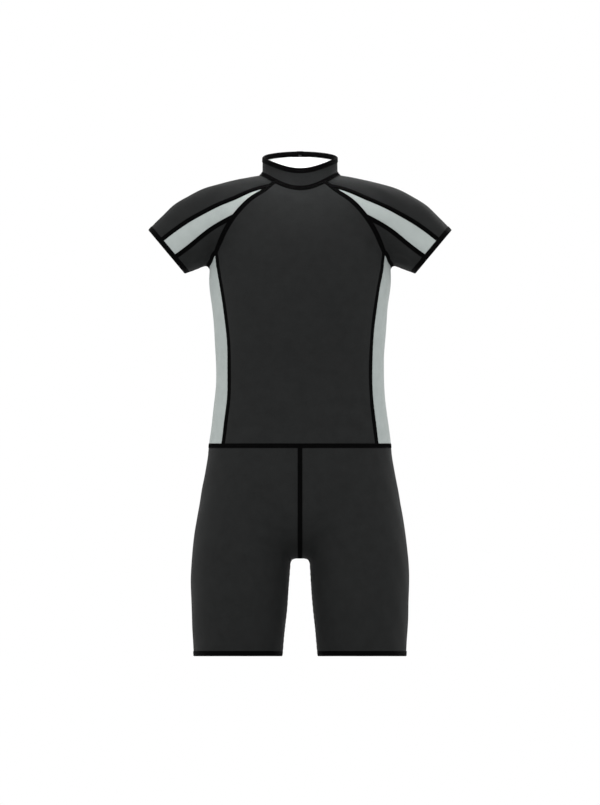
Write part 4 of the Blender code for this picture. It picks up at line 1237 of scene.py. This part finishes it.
def bound_edge(name, path, ring=True):
    """The binding folded over an open edge, with its row of stitches."""
    path = every(inward_left(path), BINDING_STEP)
    ribbon_path = path[:-1] if ring else path
    trim("binding_" + name, [ribbon(ribbon_path, BINDING_PROFILE, ring)], BAND)
    row = stitches(path, BINDING - BINDING_INSET, BINDING_RISE)
    trim("stitches_edge_" + name, [row], THREAD)


def inward_left(path):
    """A hem's path, turned so that the cloth lies on its left."""
    middle = len(path) // 3
    along = path[middle + 1] - path[middle]
    side = np.cross(FORM.normals(path[middle:middle + 1])[0], along)
    inward = np.array([0, 0, -1.0]) if path[middle, 2] > 0 else np.array([0, 0, 1.0])
    return path if side @ inward > 0 else path[::-1]


def make_edges():
    """The bound neck, sleeve hems and leg hems."""
    s = SEAMS
    bound_edge("collar", across_middle(join(*s.collar_top.values())), ring=False)
    sleeve = join(s.hem_top, s.hem_stripe, s.hem_front, s.hem_back[::-1])
    leg = join(s.hem_leg_front, s.hem_leg_back[::-1])
    for name, path in (("sleeve", sleeve), ("leg", leg)):
        bound_edge(name + "_left", path)
        bound_edge(name + "_right", mirrored(path))


def make_grids():
    """Each knit panel's grids on the form, by node, as the part's source lays them out."""
    s = SEAMS
    edge = join(s.front_raglan, s.side_front)
    stripe_end = DETAIL + STRIPE_COLUMNS
    sleeve_front_top = join(s.collar["shoulder_front"][::-1], s.front_raglan[:DETAIL + 1])
    sleeve_back_top = join(s.collar["shoulder_back"], s.back_raglan, s.under_back[::-1])
    grids = {
        "front": [patch(across_middle(s.collar["front"]), across_middle(s.waist_front),
                        mirrored(edge), edge)],
        "collar": [patch(across_middle(join(*s.collar_top.values())),
                         across_middle(join(*s.collar.values())),
                         mirrored(s.collar_end), s.collar_end)],
    }
    halves = {
        "back_{}": [patch(s.collar["back"], s.waist_back, join(s.back_raglan, s.side_back),
                          s.zip_edge)],
        "side_{}": [patch(join(s.under_front, s.under_back), s.waist_side,
                          s.side_front, s.side_back)],
        "sleeve_{}_main": [
            patch(sleeve_front_top, s.hem_top, s.sleeve_ridge, s.stripe_upper),
            patch(sleeve_back_top, s.hem_back, s.sleeve_ridge, s.underarm),
        ],
        "sleeve_{}_stripe": [patch(s.front_raglan[DETAIL:stripe_end + 1], s.hem_stripe,
                                   s.stripe_upper, s.stripe_lower)],
        "sleeve_{}_front": [patch(join(s.front_raglan[stripe_end:], s.under_front),
                                  s.hem_front, s.stripe_lower, s.underarm)],
        "shorts_{}": [
            patch(s.waist_shorts_front, s.thigh_front, s.centre_front, s.hip_guide),
            patch(s.waist_shorts_back[::-1], s.thigh_back, s.centre_back, s.hip_guide),
            patch(s.thigh_front, s.hem_leg_front, s.inseam, s.leg_guide),
            patch(s.thigh_back, s.hem_leg_back, s.inseam, s.leg_guide),
        ],
    }
    for name, half in halves.items():
        grids[name.format("left")] = half
        grids[name.format("right")] = [mirrored(grid) for grid in half]
    return grids


def make_panels():
    """Each knit panel as a sheet, the collar's with a white lining."""
    for node, grids in make_grids().items():
        kind = node.replace("_left", "").replace("_right", "")
        grey = kind in ("side", "sleeve_stripe")
        lining = WHITE if kind == "collar" else None
        panel = cloth("cloth_" + node, node, grids, GREY if grey else DARK, lining)


def make_zip_top():
    """The fold over the zip's top, and the white facing behind the zip in the collar."""
    top = SEAMS.collar_end[0][2]
    across = np.linspace(-FOLD_HALF, FOLD_HALF, FOLD_POINTS)
    path = FORM.press_along_y([(x, top) for x in across], 1)
    trim("zip_fold", [ribbon(inward_left(path), FOLD_PROFILE)], BAND)
    path = down_the_back(0, top - BINDING - FACING_TOP_GAP, FACING_BOTTOM, FACING_POINTS)
    facing = trim("cloth_facing", [ribbon(path, FACING_PROFILE)], WHITE)


def make_tooth_rows(path):
    """Both rows of meshed teeth, each tooth a waisted bar with a rounded head."""
    count = int(lengths_along(path)[-1] / TOOTH_PITCH)
    stations, half_longs, half_highs = np.array(TOOTH).T
    turns = 2 * np.pi * (np.arange(TOOTH_SIDES) + 0.5) / TOOTH_SIDES
    parts = []
    for side in (-1, 1):
        shares = (np.arange(count) + 0.5 + 0.25 * side) / count
        centres = spaced(path, shares)
        base, normals = on_cloth(centres, np.zeros((count, 1)), np.full((count, 1), TOOTH_RISE))
        base, normals = base[:, 0], normals[:, 0]
        down = unit(np.gradient(base, axis=0))
        across = side * np.cross(normals, down)
        for i in range(count):
            rings = (base[i] + stations[:, None, None] * across[i]
                     + (half_longs[:, None] * np.cos(turns))[:, :, None] * down[i]
                     + (half_highs[:, None] * np.sin(turns))[:, :, None] * normals[i])
            faces = loft(rings)
            if side > 0:
                faces = [face[::-1] for face in faces]
            places = np.zeros((rings.shape[0] * rings.shape[1], 2))
            parts.append((rings.reshape(-1, 3), faces, places))
    return parts


def make_zip():
    """The closed zip's tape and teeth, and the two rows of stitches on each side of it."""
    top = SEAMS.collar_end[0][2] - ZIP_TOP
    path = every(down_the_back(0, top, WAIST_SEAM + ZIP_BOTTOM, ZIP_POINTS), ZIP_STEP)
    tape = trim("zip_tape", [ribbon(path, TAPE_PROFILE)], TAPE)
    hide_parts("zip_chain")
    trim("zip_teeth", make_tooth_rows(path), TEETH)
    rows = [stitches(path, side * (ZIP_GAP + out), 0.0)
            for side in (-1, 1) for out in ZIP_STITCHING]
    trim("stitches_zip", rows, THREAD)


# Camera and stage, in metres. The photograph's frame is 600 by 805, and one pixel is 1.6 mm.
PIXEL = 0.0016
FRAME_HEIGHT = 805
ORIGIN_ROW = 177
CAMERA_AWAY = 4.0
FLOOR_DROP = 0.012
FLOOR_HALF = 9.0
FLOOR_LEVELS = ((226, 226, 226), (232, 232, 232))

# Each light's place, target, size, power in watts and spread in degrees
LIGHTS = {
    "key": ((-1.9, -2.6, 1.5), (0, 0, -0.3), 1.6, 34, 180),
    "fill": ((2.6, -1.6, 0.6), (0, 0, -0.4), 1.6, 12, 180),
    "back": ((1.2, 2.8, 1.4), (0, 0, -0.3), 1.8, 34, 180),
    "collar": ((0, -0.55, 1.2), (0, 0.05, 0.02), 0.12, 0.35, 14),
}


def add_object(name, data):
    item = bpy.data.objects.new(name, data)
    bpy.context.scene.collection.objects.link(item)
    return item


def make_camera():
    data = bpy.data.cameras.new("camera")
    data.type = "ORTHO"
    data.ortho_scale = FRAME_HEIGHT * PIXEL
    camera = add_object("camera", data)
    camera.location = (0, -CAMERA_AWAY, (ORIGIN_ROW - FRAME_HEIGHT / 2) * PIXEL)
    camera.rotation_euler = (math.pi / 2, 0, 0)
    bpy.context.scene.camera = camera


def make_light(name, location, target, size, power, spread):
    data = bpy.data.lights.new(name, "AREA")
    data.spread = math.radians(spread)
    data.shape = "SQUARE"
    data.size = size
    data.energy = power
    light = add_object(name, data)
    light.location = location
    light.rotation_mode = "QUATERNION"
    light.rotation_quaternion = (Vector(target) - Vector(location)).to_track_quat("-Z", "Y")
    light.visible_camera = False


def make_stage():
    """The floor, the white surroundings and the lights."""
    shader = Shader("floor_pale", 0.85, 0.2)
    paint = shader.mix(shader.noise(3, 3.0), *(colour(levels) for levels in FLOOR_LEVELS))
    shader.fill(shader.surface, {"Base Color": paint})
    height = CAD_BOX[0].z - FLOOR_DROP
    square = ((-1, -1), (1, -1), (1, 1), (-1, 1))
    mesh = bpy.data.meshes.new("floor")
    mesh.from_pydata([(x * FLOOR_HALF, y * FLOOR_HALF, height) for x, y in square], [],
                     [(0, 1, 2, 3)])
    mesh.materials.append(shader.material)
    add_object("floor", mesh)
    world = bpy.data.worlds.new("studio")
    world.use_nodes = True
    background = world.node_tree.nodes["Background"].inputs
    background["Color"].default_value = (1, 1, 1, 1)
    background["Strength"].default_value = 1.0
    bpy.context.scene.world = world
    bpy.context.scene.view_settings.view_transform = "Standard"
    for name, settings in LIGHTS.items():
        make_light(name, *settings)


make_camera()
make_stage()
for seam_name, seam_path in SEAM_LINES.items():
    flat_seam(seam_name, seam_path, ring=seam_name == "waist")
make_edges()
make_zip()
make_zip_top()
make_panels()
for node in ("zip_slider", "zip_pull"):
    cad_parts[node].data.materials.clear()
    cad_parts[node].data.materials.append(METAL)
